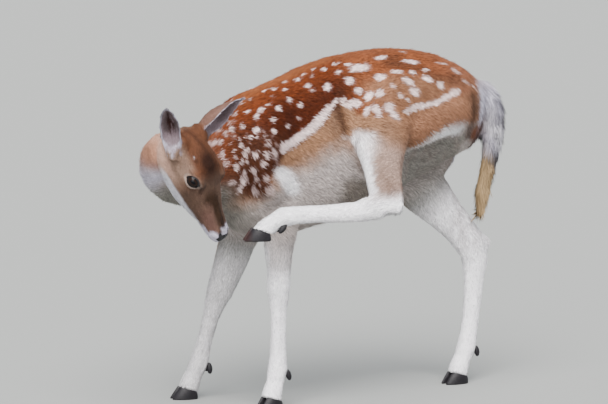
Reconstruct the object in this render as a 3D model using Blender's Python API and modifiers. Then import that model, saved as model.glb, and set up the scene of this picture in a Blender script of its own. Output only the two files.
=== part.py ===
# A fallow deer doe in her spotted summer coat, life size, standing on three legs.
# She has swung her left hind leg forward past the flank and turned her head left to meet the hoof.
# Metres, +Z up. She faces -X, and the midpoint under her bounding box on the floor is the origin.
import math

import bmesh
import bpy
import numpy as np
from mathutils import Matrix, Vector

# ---------------------------------------------------------------- driving dimensions
RING_SIDES = 24          # corners of every lofted cross-section
FORM_VOXEL = 0.0045      # grid that melts the overlapping forms into one body
CUT_GAP = 0.0006         # thickness of the cuts between neighbouring parts
SEAT_GAP = 0.0004        # clearance round a piece that sits in or on another
BODY_TRIANGLES = 3850    # of the whole body before it is parted

SPINE_BOW = 0.5          # plan curve of the spine: y = SPINE_SIDE - SPINE_BOW * x^2
SPINE_SIDE = 0.02

HEAD_LENGTH = 0.26
HEAD_ORIGIN = Vector((-0.523, -0.127, 0.637))   # back of the skull, on the head's long axis
HEAD_FORWARD = Vector((0.34, -0.30, -0.89))     # towards the nose
HEAD_UP = Vector((0.295, -0.865, 0.405))        # out of the forehead

EYE_RADIUS = 0.0168
EYE_PLACE = (0.115, 0.0400, 0.0215)             # forward, sideways and up in the head's own axes

EAR_THICKNESS = 0.0045

CLAW_WIDTH = 0.0205
CLAW_SIDES = 14


# ---------------------------------------------------------------- the spine and the head's own axes
def spine_side(x):
    return SPINE_SIDE - SPINE_BOW * x * x


def spine_left(x):
    """Unit vector to the animal's left at this station of the spine, level."""
    return Vector((-2 * SPINE_BOW * x, -1.0, 0.0)).normalized()


def beside_spine(x, left, z):
    """A point at spine station x, moved sideways by left and at height z."""
    return Vector((x, spine_side(x), z)) + spine_left(x) * left


def head_matrix():
    forward = HEAD_FORWARD.normalized()
    up = (HEAD_UP - forward * HEAD_UP.dot(forward)).normalized()
    left = up.cross(forward)
    turn = Matrix((forward, left, up)).transposed().to_4x4()
    return Matrix.Translation(HEAD_ORIGIN) @ turn


HEAD = head_matrix()


def in_head(forward, left, up):
    return HEAD @ Vector((forward, left, up))


# ---------------------------------------------------------------- modelling helpers
def unit_ring(squareness=1.0, sides=RING_SIDES):
    """Corners of a round ring of radius 1. Squareness under 1 fills out its corners."""
    corners = []
    for i in range(sides):
        turn = 2 * math.pi * i / sides
        across, along = math.cos(turn), math.sin(turn)
        corners.append((
            math.copysign(abs(across) ** squareness, across),
            math.copysign(abs(along) ** squareness, along),
        ))
    return corners


def loft(bm, rings):
    """A closed skin over rings of points, each ring with as many corners as the next."""
    made = [[bm.verts.new(p) for p in ring] for ring in rings]
    for near, far in zip(made, made[1:]):
        for i in range(len(near)):
            j = (i + 1) % len(near)
            bm.faces.new((near[i], near[j], far[j], far[i]))
    bm.faces.new(list(reversed(made[0])))
    bm.faces.new(made[-1])


def limb(bm, stations, depth_axis, sides=RING_SIDES):
    """A tube through stations (centre, half width, half depth), its depth along depth_axis."""
    centres = [Vector(s[0]) for s in stations]
    rings = []
    for i, (_, half_width, half_depth) in enumerate(stations):
        before, after = centres[max(i - 1, 0)], centres[min(i + 1, len(centres) - 1)]
        along = (after - before).normalized()
        deep = (depth_axis - along * depth_axis.dot(along)).normalized()
        wide = along.cross(deep)
        rings.append([
            centres[i] + wide * (half_width * a) + deep * (half_depth * b)
            for a, b in unit_ring(0.95, sides)
        ])
    loft(bm, rings)


def muscle(bm, start, end, half_width, half_depth, side_axis, overrun=0.15):
    """An egg from start to end, half_width thick along side_axis and half_depth across it."""
    start, end = Vector(start), Vector(end)
    along = (end - start).normalized()
    side = (side_axis - along * side_axis.dot(along)).normalized()
    deep = along.cross(side)
    half = (end - start).length * (0.5 + overrun)
    place = Matrix((side * half_width, deep * half_depth, along * half)).transposed().to_4x4()
    place.translation = (start + end) / 2
    bmesh.ops.create_uvsphere(bm, u_segments=20, v_segments=12, radius=1.0, matrix=place)


def mesh_object(name, bm, collection):
    bmesh.ops.recalc_face_normals(bm, faces=bm.faces)
    bmesh.ops.triangulate(bm, faces=[face for face in bm.faces if len(face.verts) == 4])
    mesh = bpy.data.meshes.new(name)
    bm.to_mesh(mesh)
    bm.free()
    obj = bpy.data.objects.new(name, mesh)
    collection.objects.link(obj)
    return obj


def baked(obj):
    """Applies the object's modifiers to its mesh."""
    bpy.context.view_layer.update()
    graph = bpy.context.evaluated_depsgraph_get()
    mesh = bpy.data.meshes.new_from_object(obj.evaluated_get(graph))
    obj.modifiers.clear()
    obj.data = mesh
    return obj


def melt(obj, voxel, smoothings):
    """Turns overlapping closed shells into one smooth skin."""
    remesh = obj.modifiers.new("melt", "REMESH")
    remesh.mode = "VOXEL"
    remesh.voxel_size = voxel
    smooth = obj.modifiers.new("soften", "SMOOTH")
    smooth.factor = 0.5
    smooth.iterations = smoothings
    return baked(obj)


def reduced(obj, name, triangles, collection):
    """A copy of the object with about this many triangles."""
    copy = bpy.data.objects.new(name, obj.data.copy())
    collection.objects.link(copy)
    copy.data.calc_loop_triangles()
    decimate = copy.modifiers.new("reduce", "DECIMATE")
    decimate.ratio = triangles / len(copy.data.loop_triangles)
    return baked(copy)


def boolean(obj, other, operation):
    modifier = obj.modifiers.new(operation.lower(), "BOOLEAN")
    modifier.operation = operation
    modifier.object = other
    modifier.solver = "EXACT"
    return baked(obj)


def inflated(obj, amount, collection):
    """A copy that stands proud of the object by amount, for cutting a seat with clearance."""
    copy = bpy.data.objects.new(obj.name + "_seat", obj.data.copy())
    collection.objects.link(copy)
    displace = copy.modifiers.new("clearance", "DISPLACE")
    displace.strength = amount
    displace.mid_level = 0.0
    return baked(copy)


def material(name, colour, roughness):
    made = bpy.data.materials.new(name)
    made.use_nodes = True
    shader = made.node_tree.nodes["Principled BSDF"]
    shader.inputs["Base Color"].default_value = (*colour, 1.0)
    shader.inputs["Roughness"].default_value = roughness
    shader.inputs["Metallic"].default_value = 0.0
    return made


# ---------------------------------------------------------------- trunk and neck
# spine station, top of the back, bottom of the belly, half width, share of the height where it is widest
TRUNK = (
    (-0.350, 0.655, 0.455, 0.060, 0.50),
    (-0.330, 0.676, 0.410, 0.082, 0.48),
    (-0.290, 0.698, 0.380, 0.099, 0.46),
    (-0.240, 0.711, 0.372, 0.110, 0.46),
    (-0.180, 0.727, 0.376, 0.122, 0.46),
    (-0.110, 0.751, 0.388, 0.133, 0.47),
    (-0.040, 0.768, 0.398, 0.138, 0.48),
    (0.030, 0.778, 0.414, 0.136, 0.50),
    (0.090, 0.782, 0.440, 0.126, 0.55),
    (0.150, 0.778, 0.475, 0.112, 0.60),
    (0.210, 0.767, 0.505, 0.100, 0.60),
    (0.265, 0.742, 0.530, 0.086, 0.58),
    (0.300, 0.716, 0.552, 0.068, 0.55),
    (0.322, 0.692, 0.588, 0.042, 0.52),
)
BACK_NARROWING = 0.90    # how squarely the ribs carry the back


def trunk_form(bm):
    rings = []
    for x, top, bottom, half_width, wide_share in TRUNK:
        centre = Vector((x, spine_side(x), 0.0))
        wide = bottom + (top - bottom) * wide_share
        ring = []
        for a, b in unit_ring(BACK_NARROWING):
            z = wide + b * ((top - wide) if b > 0 else (wide - bottom))
            ring.append(centre + spine_left(x) * (-half_width * a) + Vector((0, 0, z)))
        rings.append(ring)
    loft(bm, rings)


# centre, sideways half width, upward half, downward half; the neck swings out and curls left into the head
NECK = (
    ((-0.235, -0.010, 0.560), 0.082, 0.125, 0.150),
    ((-0.300, -0.026, 0.552), 0.076, 0.114, 0.132),
    ((-0.350, -0.032, 0.543), 0.067, 0.094, 0.108),
    ((-0.400, -0.030, 0.536), 0.061, 0.072, 0.088),
    ((-0.444, -0.020, 0.534), 0.056, 0.056, 0.078),
    ((-0.474, -0.012, 0.537), 0.053, 0.050, 0.072),
    ((-0.500, -0.020, 0.548), 0.051, 0.048, 0.068),
    ((-0.514, -0.050, 0.567), 0.049, 0.050, 0.062),
    ((-0.514, -0.090, 0.588), 0.046, 0.052, 0.056),
)


def neck_form(bm):
    centres = [Vector(s[0]) for s in NECK]
    last = len(NECK) - 1
    rings = []
    for i, (_, half_width, upward, downward) in enumerate(NECK):
        along = (centres[min(i + 1, last)] - centres[max(i - 1, 0)]).normalized()
        up = Vector((0, 0, 1)).lerp(-HEAD_FORWARD.normalized(), (i / last) ** 2)
        up = (up - along * up.dot(along)).normalized()
        side = along.cross(up)
        rings.append([
            centres[i] + side * (half_width * a) + up * (b * (upward if b > 0 else downward))
            for a, b in unit_ring(1.0)
        ])
    loft(bm, rings)


# ---------------------------------------------------------------- head
# forward station, top, bottom, half width, level of the widest point, half width at the underside as a share
SKULL = (
    (0.000, 0.026, -0.036, 0.026, 0.000, 0.72),
    (0.012, 0.036, -0.052, 0.035, 0.000, 0.70),
    (0.030, 0.047, -0.066, 0.042, 0.000, 0.70),
    (0.055, 0.056, -0.077, 0.048, 0.000, 0.70),
    (0.080, 0.060, -0.083, 0.053, 0.002, 0.70),
    (0.105, 0.058, -0.083, 0.0535, 0.006, 0.72),
    (0.128, 0.046, -0.080, 0.0495, 0.000, 0.74),
    (0.150, 0.033, -0.072, 0.045, -0.008, 0.76),
    (0.175, 0.023, -0.061, 0.037, -0.014, 0.76),
    (0.200, 0.014, -0.050, 0.0310, -0.017, 0.76),
    (0.222, 0.009, -0.045, 0.0290, -0.018, 0.76),
    (0.240, 0.0045, -0.041, 0.0270, -0.018, 0.74),
    (0.252, -0.0010, -0.036, 0.0225, -0.018, 0.72),
    (0.2595, -0.0080, -0.026, 0.0140, -0.017, 0.70),
)


def head_form(bm):
    rings = []
    for x, top, bottom, half_width, wide, under in SKULL:
        ring = []
        for a, b in unit_ring(0.92):
            narrowing = 1.0 if b > 0 else 1.0 - (1.0 - under) * (-b) ** 1.3
            z = wide + b * ((top - wide) if b > 0 else (wide - bottom))
            ring.append(in_head(x, half_width * a * narrowing, z))
        rings.append(ring)
    loft(bm, rings)
    left = HEAD.to_3x3() @ Vector((0, 1, 0))
    for side in (1, -1):
        # rim of the eye socket, brow, cheek muscle, cheek bone and upper lip
        muscle(bm, in_head(0.094, side * 0.040, 0.036), in_head(0.136, side * 0.038, 0.034), 0.0150, 0.012, left)
        muscle(bm, in_head(0.094, side * 0.042, 0.004), in_head(0.142, side * 0.036, 0.002), 0.0110, 0.012, left)
        muscle(bm, in_head(0.030, side * 0.031, -0.030), in_head(0.105, side * 0.030, -0.036), 0.0150, 0.028, left)
        muscle(bm, in_head(0.120, side * 0.036, -0.004), in_head(0.185, side * 0.024, -0.010), 0.0085, 0.012, left)
        muscle(bm, in_head(0.205, side * 0.0155, -0.012), in_head(0.248, side * 0.0135, -0.009), 0.0115, 0.014, left)
        # bony roof over the ear's root
        muscle(bm, in_head(0.010, side * 0.030, 0.034), in_head(0.050, side * 0.034, 0.036), 0.016, 0.016, left)
    muscle(bm, in_head(0.205, 0, -0.030), in_head(0.240, 0, -0.028), 0.015, 0.009, left)


# ---------------------------------------------------------------- legs
# Each list runs from the body to the pastern: centre, half width across the leg, half depth fore and aft.
SHOULDER_LEFT = beside_spine(-0.318, 0.088, 0.530)
ELBOW_LEFT = Vector((-0.232, -0.080, 0.450))
FORELEG_LEFT = (
    ((-0.238, -0.076, 0.470), 0.036, 0.056),
    ((-0.236, -0.080, 0.430), 0.035, 0.048),
    ((-0.237, -0.083, 0.380), 0.031, 0.038),
    ((-0.239, -0.085, 0.330), 0.0265, 0.031),
    ((-0.240, -0.087, 0.298), 0.0245, 0.0275),
    ((-0.241, -0.088, 0.270), 0.0255, 0.0280),
    ((-0.241, -0.088, 0.246), 0.0220, 0.0240),
    ((-0.242, -0.089, 0.215), 0.0175, 0.0195),
    ((-0.243, -0.090, 0.160), 0.0165, 0.0185),
    ((-0.244, -0.090, 0.115), 0.0180, 0.0205),
    ((-0.246, -0.091, 0.086), 0.0215, 0.0235),
    ((-0.253, -0.093, 0.060), 0.0195, 0.0205),
    ((-0.261, -0.095, 0.036), 0.0220, 0.0230),
    ((-0.267, -0.097, 0.012), 0.0228, 0.0245),
)
FORELEG_RIGHT = (
    ((-0.226, 0.070, 0.455), 0.038, 0.064),
    ((-0.238, 0.073, 0.410), 0.037, 0.056),
    ((-0.253, 0.078, 0.358), 0.034, 0.046),
    ((-0.268, 0.083, 0.308), 0.0300, 0.0410),
    ((-0.282, 0.088, 0.270), 0.0280, 0.0360),
    ((-0.293, 0.091, 0.240), 0.0272, 0.0325),
    ((-0.303, 0.094, 0.214), 0.0230, 0.0255),
    ((-0.311, 0.098, 0.184), 0.0178, 0.0202),
    ((-0.322, 0.102, 0.142), 0.0165, 0.0187),
    ((-0.331, 0.105, 0.106), 0.0180, 0.0205),
    ((-0.337, 0.107, 0.082), 0.0215, 0.0235),
    ((-0.347, 0.110, 0.058), 0.0195, 0.0205),
    ((-0.357, 0.113, 0.036), 0.0220, 0.0230),
    ((-0.364, 0.115, 0.012), 0.0228, 0.0245),
)
HIP_RIGHT = beside_spine(0.215, -0.066, 0.650)
KNEE_RIGHT = Vector((0.128, 0.056, 0.510))
HINDLEG_RIGHT = (
    ((0.205, 0.060, 0.600), 0.058, 0.105),
    ((0.178, 0.060, 0.545), 0.055, 0.094),
    ((0.187, 0.052, 0.490), 0.047, 0.078),
    ((0.222, 0.040, 0.440), 0.037, 0.060),
    ((0.264, 0.026, 0.392), 0.029, 0.046),
    ((0.299, 0.014, 0.352), 0.0250, 0.0400),
    ((0.324, 0.006, 0.315), 0.0260, 0.0385),
    ((0.332, 0.002, 0.280), 0.0245, 0.0325),
    ((0.328, -0.001, 0.250), 0.0205, 0.0262),
    ((0.322, -0.004, 0.200), 0.0180, 0.0230),
    ((0.315, -0.007, 0.150), 0.0172, 0.0210),
    ((0.308, -0.009, 0.112), 0.0184, 0.0215),
    ((0.302, -0.010, 0.084), 0.0220, 0.0240),
    ((0.291, -0.011, 0.060), 0.0195, 0.0210),
    ((0.280, -0.012, 0.037), 0.0222, 0.0235),
    ((0.273, -0.013, 0.012), 0.0228, 0.0245),
)
HIP_LEFT = beside_spine(0.195, 0.070, 0.655)
KNEE_LEFT = Vector((-0.020, -0.128, 0.622))
HOCK_LEFT = Vector((-0.070, -0.262, 0.468))
HINDLEG_LEFT = (
    ((0.010, -0.118, 0.632), 0.046, 0.066),
    ((-0.010, -0.136, 0.606), 0.044, 0.066),
    ((-0.022, -0.163, 0.572), 0.038, 0.056),
    ((-0.037, -0.195, 0.535), 0.031, 0.046),
    ((-0.052, -0.226, 0.502), 0.0270, 0.0400),
    ((-0.066, -0.256, 0.476), 0.0265, 0.0370),
    ((-0.096, -0.263, 0.457), 0.0255, 0.0300),
    ((-0.135, -0.248, 0.449), 0.0205, 0.0240),
    ((-0.180, -0.232, 0.447), 0.0180, 0.0212),
    ((-0.225, -0.216, 0.446), 0.0172, 0.0203),
    ((-0.262, -0.203, 0.445), 0.0185, 0.0206),
    ((-0.288, -0.194, 0.442), 0.0215, 0.0225),
    ((-0.309, -0.187, 0.431), 0.0195, 0.0200),
    ((-0.326, -0.181, 0.417), 0.0218, 0.0220),
    ((-0.338, -0.177, 0.402), 0.0226, 0.0232),
)
FORE = Vector((-1, 0, 0))


def heel(bm, hock, point, side_axis):
    """Heel bone and its cord, up the back of the shank."""
    muscle(bm, hock, point, 0.0165, 0.0185, side_axis, overrun=0.28)


def leg_forms(bm):
    limb(bm, FORELEG_LEFT, FORE)
    limb(bm, FORELEG_RIGHT, FORE)
    limb(bm, HINDLEG_RIGHT, Vector((-1, 0.1, -0.3)))
    limb(bm, HINDLEG_LEFT[:6], Vector((-1, 0.35, 0.1)))
    limb(bm, HINDLEG_LEFT[5:], Vector((0.1, 0.2, 1)))
    left = Vector((0, -1, 0))
    heel(bm, (0.334, 0.006, 0.296), (0.362, 0.001, 0.325), left)
    muscle(bm, (0.360, 0.001, 0.326), (0.272, 0.028, 0.410), 0.011, 0.013, left)
    heel(bm, (-0.072, -0.268, 0.462), (-0.052, -0.296, 0.456), Vector((0.6, 0.4, -0.6)))
    muscle(bm, (-0.050, -0.296, 0.458), (-0.004, -0.196, 0.545), 0.011, 0.013, Vector((1, 0, 0)))
    # breast of the forearm
    muscle(bm, (-0.212, -0.080, 0.440), (-0.232, -0.086, 0.320), 0.022, 0.024, left)
    muscle(bm, (-0.212, 0.070, 0.430), (-0.258, 0.084, 0.310), 0.022, 0.026, left)


def muscle_forms(bm):
    left = spine_left(-0.28)
    for side in (1, -1):
        # shoulder blade, the two masses behind it, upper arm and breast
        blade = beside_spine(-0.240, side * 0.058, 0.668)
        joint = beside_spine(-0.322, side * 0.078, 0.525)
        muscle(bm, blade, joint, 0.040, 0.060, left)
        elbow = Vector(FORELEG_LEFT[0][0]) if side > 0 else Vector(FORELEG_RIGHT[0][0])
        muscle(bm, beside_spine(-0.225, side * 0.075, 0.610), elbow, 0.040, 0.062, left, overrun=0.20)
        muscle(bm, joint, elbow, 0.042, 0.046, left, overrun=0.18)
        muscle(bm, beside_spine(-0.338, side * 0.030, 0.520), beside_spine(-0.285, side * 0.035, 0.420), 0.036, 0.040, left)
    # croup and buttocks
    for side in (1, -1):
        muscle(bm, beside_spine(0.130, side * 0.062, 0.715), beside_spine(0.278, side * 0.050, 0.665), 0.048, 0.060, left)
        muscle(bm, beside_spine(0.284, side * 0.048, 0.640), beside_spine(0.205, side * 0.060, 0.590), 0.040, 0.060, left)
    # standing thigh: front, outside and back masses
    muscle(bm, HIP_RIGHT, KNEE_RIGHT, 0.052, 0.072, left, overrun=0.22)
    muscle(bm, (0.285, 0.030, 0.640), (0.215, 0.050, 0.470), 0.044, 0.060, left, overrun=0.14)
    # raised thigh, drawn forward along the flank, and its hamstrings
    muscle(bm, HIP_LEFT, KNEE_LEFT, 0.052, 0.080, left, overrun=0.20)
    muscle(bm, beside_spine(0.285, 0.050, 0.650), (0.010, -0.140, 0.600), 0.044, 0.050, left, overrun=0.08)
    muscle(bm, beside_spine(0.110, 0.090, 0.700), (-0.010, -0.118, 0.645), 0.042, 0.056, left)


# ---------------------------------------------------------------- tail
# Outline of the hanging hair: centre, half width across, half depth.
TAIL = (
    ((0.296, -0.022, 0.698), 0.016, 0.014),
    ((0.318, -0.028, 0.688), 0.021, 0.020),
    ((0.338, -0.033, 0.668), 0.024, 0.024),
    ((0.350, -0.035, 0.640), 0.026, 0.027),
    ((0.355, -0.035, 0.606), 0.027, 0.027),
    ((0.356, -0.033, 0.568), 0.025, 0.025),
    ((0.351, -0.031, 0.530), 0.021, 0.021),
    ((0.343, -0.029, 0.492), 0.018, 0.019),
    ((0.335, -0.027, 0.452), 0.017, 0.019),
    ((0.330, -0.026, 0.418), 0.014, 0.015),
    ((0.327, -0.025, 0.390), 0.006, 0.007),
)
TAIL_OUTLINE_AXIS = Vector((1, 0, 0.2))


def tail_solid(name, collection):
    bm = bmesh.new()
    limb(bm, TAIL, TAIL_OUTLINE_AXIS, sides=16)
    return mesh_object(name, bm, collection)


# ---------------------------------------------------------------- eyes and ears
def eye_solid(name, side, collection):
    forward, out, up = EYE_PLACE
    bm = bmesh.new()
    place = Matrix.Translation(in_head(forward, side * out, up))
    bmesh.ops.create_uvsphere(bm, u_segments=14, v_segments=8, radius=EYE_RADIUS, matrix=place)
    return mesh_object(name, bm, collection)


# root on the head, direction of the tip, direction the cup opens towards (all in the head's own axes)
EARS = {
    "ear_left": {
        "root": (0.040, 0.042, 0.018), "tip": (-0.265, 0.573, 0.776), "opening": (0.646, 0.193, 0.738),
        "length": 0.130, "width": 0.062, "bow": 0.0,
        # share of the length, half width as a share of the widest, half angle the cup wraps, how far it is filled in
        "stations": (
            (0.00, 0.66, 90, 1.0),
            (0.10, 0.78, 94, 0.85),
            (0.20, 0.88, 98, 0.45),
            (0.32, 0.97, 98, 0.10),
            (0.46, 1.00, 94, 0.0),
            (0.60, 0.93, 85, 0.0),
            (0.74, 0.75, 72, 0.0),
            (0.86, 0.50, 58, 0.0),
            (0.95, 0.26, 46, 0.0),
            (1.00, 0.09, 38, 0.0),
        ),
    },
    "ear_right": {
        "root": (0.053, -0.054, 0.010), "tip": (-0.78, -0.30, 0.60), "opening": (-0.05, -0.75, 0.50),
        "length": 0.134, "width": 0.045, "bow": 0.010,
        "stations": (
            (0.00, 0.56, 90, 1.0),
            (0.10, 0.66, 90, 0.85),
            (0.20, 0.80, 92, 0.45),
            (0.32, 0.94, 88, 0.10),
            (0.46, 1.00, 80, 0.0),
            (0.60, 0.97, 70, 0.0),
            (0.74, 0.82, 60, 0.0),
            (0.86, 0.58, 50, 0.0),
            (0.95, 0.30, 42, 0.0),
            (1.00, 0.09, 38, 0.0),
        ),
    },
}
EAR_COLUMNS = 8


def ear_solid(name, collection):
    ear = EARS[name]
    root = Vector(ear["root"])
    along = Vector(ear["tip"]).normalized()
    front = Vector(ear["opening"])
    front = (front - along * front.dot(along)).normalized()
    across = along.cross(front)
    bm = bmesh.new()
    backs, fronts = [], []
    for share, width, wrap, filled in ear["stations"]:
        half_width = ear["width"] / 2 * width
        half_wrap = math.radians(wrap)
        radius = half_width / math.sin(min(half_wrap, math.pi / 2))
        centre = root + along * (ear["length"] * share) - front * (ear["bow"] * math.sin(math.pi * share))
        thickness = EAR_THICKNESS * (1.25 - 0.75 * share)
        back, inside = [], []
        for column in range(EAR_COLUMNS):
            turn = half_wrap * (2 * column / (EAR_COLUMNS - 1) - 1)
            out = across * math.sin(turn) - front * (math.cos(turn) - math.cos(half_wrap) * 0.5)
            radial = across * math.sin(turn) - front * math.cos(turn)
            edge = abs(2 * column / (EAR_COLUMNS - 1) - 1) ** 4
            back.append(bm.verts.new(HEAD @ (centre + out * radius)))
            cup = out * radius - radial * thickness * (1 - 0.6 * edge)
            fill = across * (0.9 * radius * math.sin(turn)) + front * (0.7 * radius * math.cos(turn))
            inside.append(bm.verts.new(HEAD @ (centre + cup.lerp(fill, filled))))
        backs.append(back)
        fronts.append(inside)
    for rows in (backs, fronts):
        for near, far in zip(rows, rows[1:]):
            for i in range(EAR_COLUMNS - 1):
                bm.faces.new((near[i], near[i + 1], far[i + 1], far[i]))
    for i in range(EAR_COLUMNS - 1):
        bm.faces.new((backs[0][i], backs[0][i + 1], fronts[0][i + 1], fronts[0][i]))
        bm.faces.new((backs[-1][i], backs[-1][i + 1], fronts[-1][i + 1], fronts[-1][i]))
    for row in range(len(backs) - 1):
        for i in (0, EAR_COLUMNS - 1):
            bm.faces.new((backs[row][i], backs[row + 1][i], fronts[row + 1][i], fronts[row][i]))
    return mesh_object(name, bm, collection)


# ---------------------------------------------------------------- feet
# centre of the sole between the claws and the way the toes point
FEET = {
    "fore_left": (Vector((-0.268, -0.097, 0.0)), Vector((-0.98, -0.17, 0))),
    "fore_right": (Vector((-0.366, 0.116, 0.0)), Vector((-0.97, 0.20, 0))),
    "hind_right": (Vector((0.272, -0.013, 0.0)), Vector((-1.00, -0.05, 0))),
    "hind_left": (Vector((-0.340, -0.176, 0.391)), Vector((-0.94, 0.337, 0))),
}
CORONET_HEIGHT = 0.024
CORONET_RISE = 0.28      # how much higher the hair line stands towards the toe


def foot_matrix(name):
    sole, toe = FEET[name]
    toe = toe.normalized()
    up = Vector((0, 0, 1))
    turn = Matrix((toe, up.cross(toe), up)).transposed().to_4x4()
    return Matrix.Translation(sole) @ turn


def claw_solid(name, foot, side, collection):
    """One claw: flat sole, upright inner wall, toe drawn to a point."""
    place = foot_matrix(foot)
    # height of the ring, how far heel and toe reach, half width
    sole = (0.0, -0.024, 0.034, CLAW_WIDTH / 2)
    tread = (0.003, -0.0248, 0.0345, CLAW_WIDTH / 2 + 0.0004)
    wall = (0.014, -0.0235, 0.0270, CLAW_WIDTH / 2)
    coronet = (None, -0.0210, 0.0165, CLAW_WIDTH / 2 - 0.0008)
    centre_line = side * (CLAW_WIDTH / 2 + 0.0022)
    bm = bmesh.new()
    rings = []
    for height, back, front, half_width in (sole, tread, wall, coronet):
        ring = []
        for a, b in unit_ring(0.85, CLAW_SIDES):
            t = (front + back) / 2 + (front - back) / 2 * a
            taper = 1.0 - 0.42 * max(a, 0.0) ** 2
            s = half_width * b * taper
            if s * side < 0:
                s *= 0.80
            s -= side * 0.0035 * max(a, 0.0) ** 2
            h = CORONET_HEIGHT + CORONET_RISE * t - SEAT_GAP if height is None else height
            ring.append(place @ Vector((t, centre_line + s, h)))
        rings.append(ring)
    loft(bm, rings)
    return mesh_object(name, bm, collection)


# middle of each pair at its root, and the way the small claws hang
DEWCLAWS = {
    "fore_left": (Vector((-0.2275, -0.089, 0.078)), Vector((0.25, 0.02, -1))),
    "fore_right": (Vector((-0.3170, 0.103, 0.074)), Vector((0.10, 0.02, -1))),
    "hind_right": (Vector((0.3215, -0.008, 0.077)), Vector((0.15, 0.00, -1))),
    "hind_left": (Vector((-0.2900, -0.193, 0.4210)), Vector((-0.62, 0.22, -0.78))),
}


def dewclaw_solid(name, foot, side, collection):
    """One of the small claws behind the pastern."""
    root, hang = DEWCLAWS[foot]
    across = foot_matrix(foot).to_3x3() @ Vector((0, 1, 0))
    along = (hang.normalized() + across * (side * 0.12)).normalized()
    across = (across - along * across.dot(along)).normalized()
    turn = Matrix((across * 0.0068, along.cross(across) * 0.0072, along * 0.0135)).transposed().to_4x4()
    turn.translation = root + across * (side * 0.0125) + along * 0.006
    bm = bmesh.new()
    bmesh.ops.create_uvsphere(bm, u_segments=7, v_segments=5, radius=1.0, matrix=turn)
    return mesh_object(name, bm, collection)


def slab(bm, centre, normal, deep_axis, half_width, half_depth, thickness, offset=0.0):
    """A flat box square to normal, for cutting or trimming. Offset slides it along normal."""
    normal = Vector(normal).normalized()
    deep = Vector(deep_axis)
    deep = (deep - normal * deep.dot(normal)).normalized()
    wide = normal.cross(deep)
    place = Matrix((wide * half_width * 2, deep * half_depth * 2, normal * thickness)).transposed().to_4x4()
    place.translation = Vector(centre) + normal * offset
    bmesh.ops.create_cube(bm, size=1.0, matrix=place)


# ---------------------------------------------------------------- where the body is parted
# centre, normal, axis of the depth, half width, half depth
CUTS = (
    ((-0.362, -0.032, 0.543), (-1, 0, 0), (0, 0, 1), 0.120, 0.160),
    ((-0.430, -0.022, 0.534), (-1, 0, 0), (0, 0, 1), 0.085, 0.110),
    ((-0.237, -0.083, 0.372), (0, 0, 1), (1, 0, 0), 0.042, 0.070),
    ((-0.241, -0.088, 0.244), (0, 0, 1), (1, 0, 0), 0.035, 0.040),
    ((-0.244, -0.090, 0.112), (0, 0, 1), (1, 0, 0), 0.035, 0.040),
    ((-0.251, 0.077, 0.364), (0.28, -0.09, 0.95), (1, 0, 0), 0.044, 0.076),
    ((-0.301, 0.093, 0.218), (0.28, -0.1, 0.95), (1, 0, 0), 0.035, 0.042),
    ((-0.330, 0.105, 0.112), (0.2, -0.1, 0.97), (1, 0, 0), 0.035, 0.042),
    ((0.208, 0.046, 0.460), (0.42, -0.13, -0.90), (1, 0, 0), 0.062, 0.100),
    ((0.331, 0.002, 0.270), (0, 0, 1), (1, 0, 0), 0.040, 0.050),
    ((0.308, -0.009, 0.112), (0.1, 0, 1), (1, 0, 0), 0.035, 0.040),
    ((-0.023, -0.171, 0.570), (-0.19, -0.62, -0.74), (1, 0, 0), 0.049, 0.082),
    ((-0.112, -0.257, 0.453), (-0.935, 0.34, -0.07), (0, 0, 1), 0.042, 0.045),
    ((-0.262, -0.203, 0.441), (-0.935, 0.34, -0.07), (0, 0, 1), 0.036, 0.040),
)
THROAT_CUT = ((-0.512, -0.045, 0.562), (0, -0.95, 0.3), (0, 0.3, 0.95), 0.0823, 0.100)


def throat_cutter(collection):
    """Its inner end runs out into the cut across the neck."""
    bm = bmesh.new()
    slab(bm, *THROAT_CUT, CUT_GAP)
    return mesh_object("throat_cutter", bm, collection)


def parting_cutter(collection):
    bm = bmesh.new()
    for centre, normal, deep, half_width, half_depth in CUTS:
        slab(bm, centre, normal, deep, half_width, half_depth, CUT_GAP)
    for foot in FEET:
        place = foot_matrix(foot)
        turn = place.to_3x3()
        normal = turn @ Vector((-CORONET_RISE, 0, 1)).normalized()
        slab(bm, place @ Vector((0, 0, CORONET_HEIGHT)), normal, turn @ Vector((1, 0, 0)), 0.045, 0.045, 0.06, -0.03)
    return mesh_object("parting_cutter", bm, collection)


# a point inside each part of the body
PARTS = {
    "trunk": (0.0, 0.02, 0.60),
    "neck_base": (-0.396, -0.028, 0.54),
    "neck_bend": (-0.505, -0.035, 0.56),
    "head": (-0.49, -0.155, 0.54),
    "fore_left_forearm": (-0.239, -0.085, 0.310),
    "fore_left_cannon": (-0.243, -0.089, 0.178),
    "fore_left_pastern": (-0.252, -0.093, 0.066),
    "fore_right_forearm": (-0.275, 0.085, 0.300),
    "fore_right_cannon": (-0.315, 0.099, 0.168),
    "fore_right_pastern": (-0.347, 0.110, 0.066),
    "hind_right_shank": (0.285, 0.018, 0.365),
    "hind_right_cannon": (0.321, -0.004, 0.198),
    "hind_right_pastern": (0.293, -0.011, 0.066),
    "hind_left_shank": (-0.050, -0.225, 0.500),
    "hind_left_cannon": (-0.190, -0.228, 0.445),
    "hind_left_pastern": (-0.300, -0.190, 0.428),
}


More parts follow.
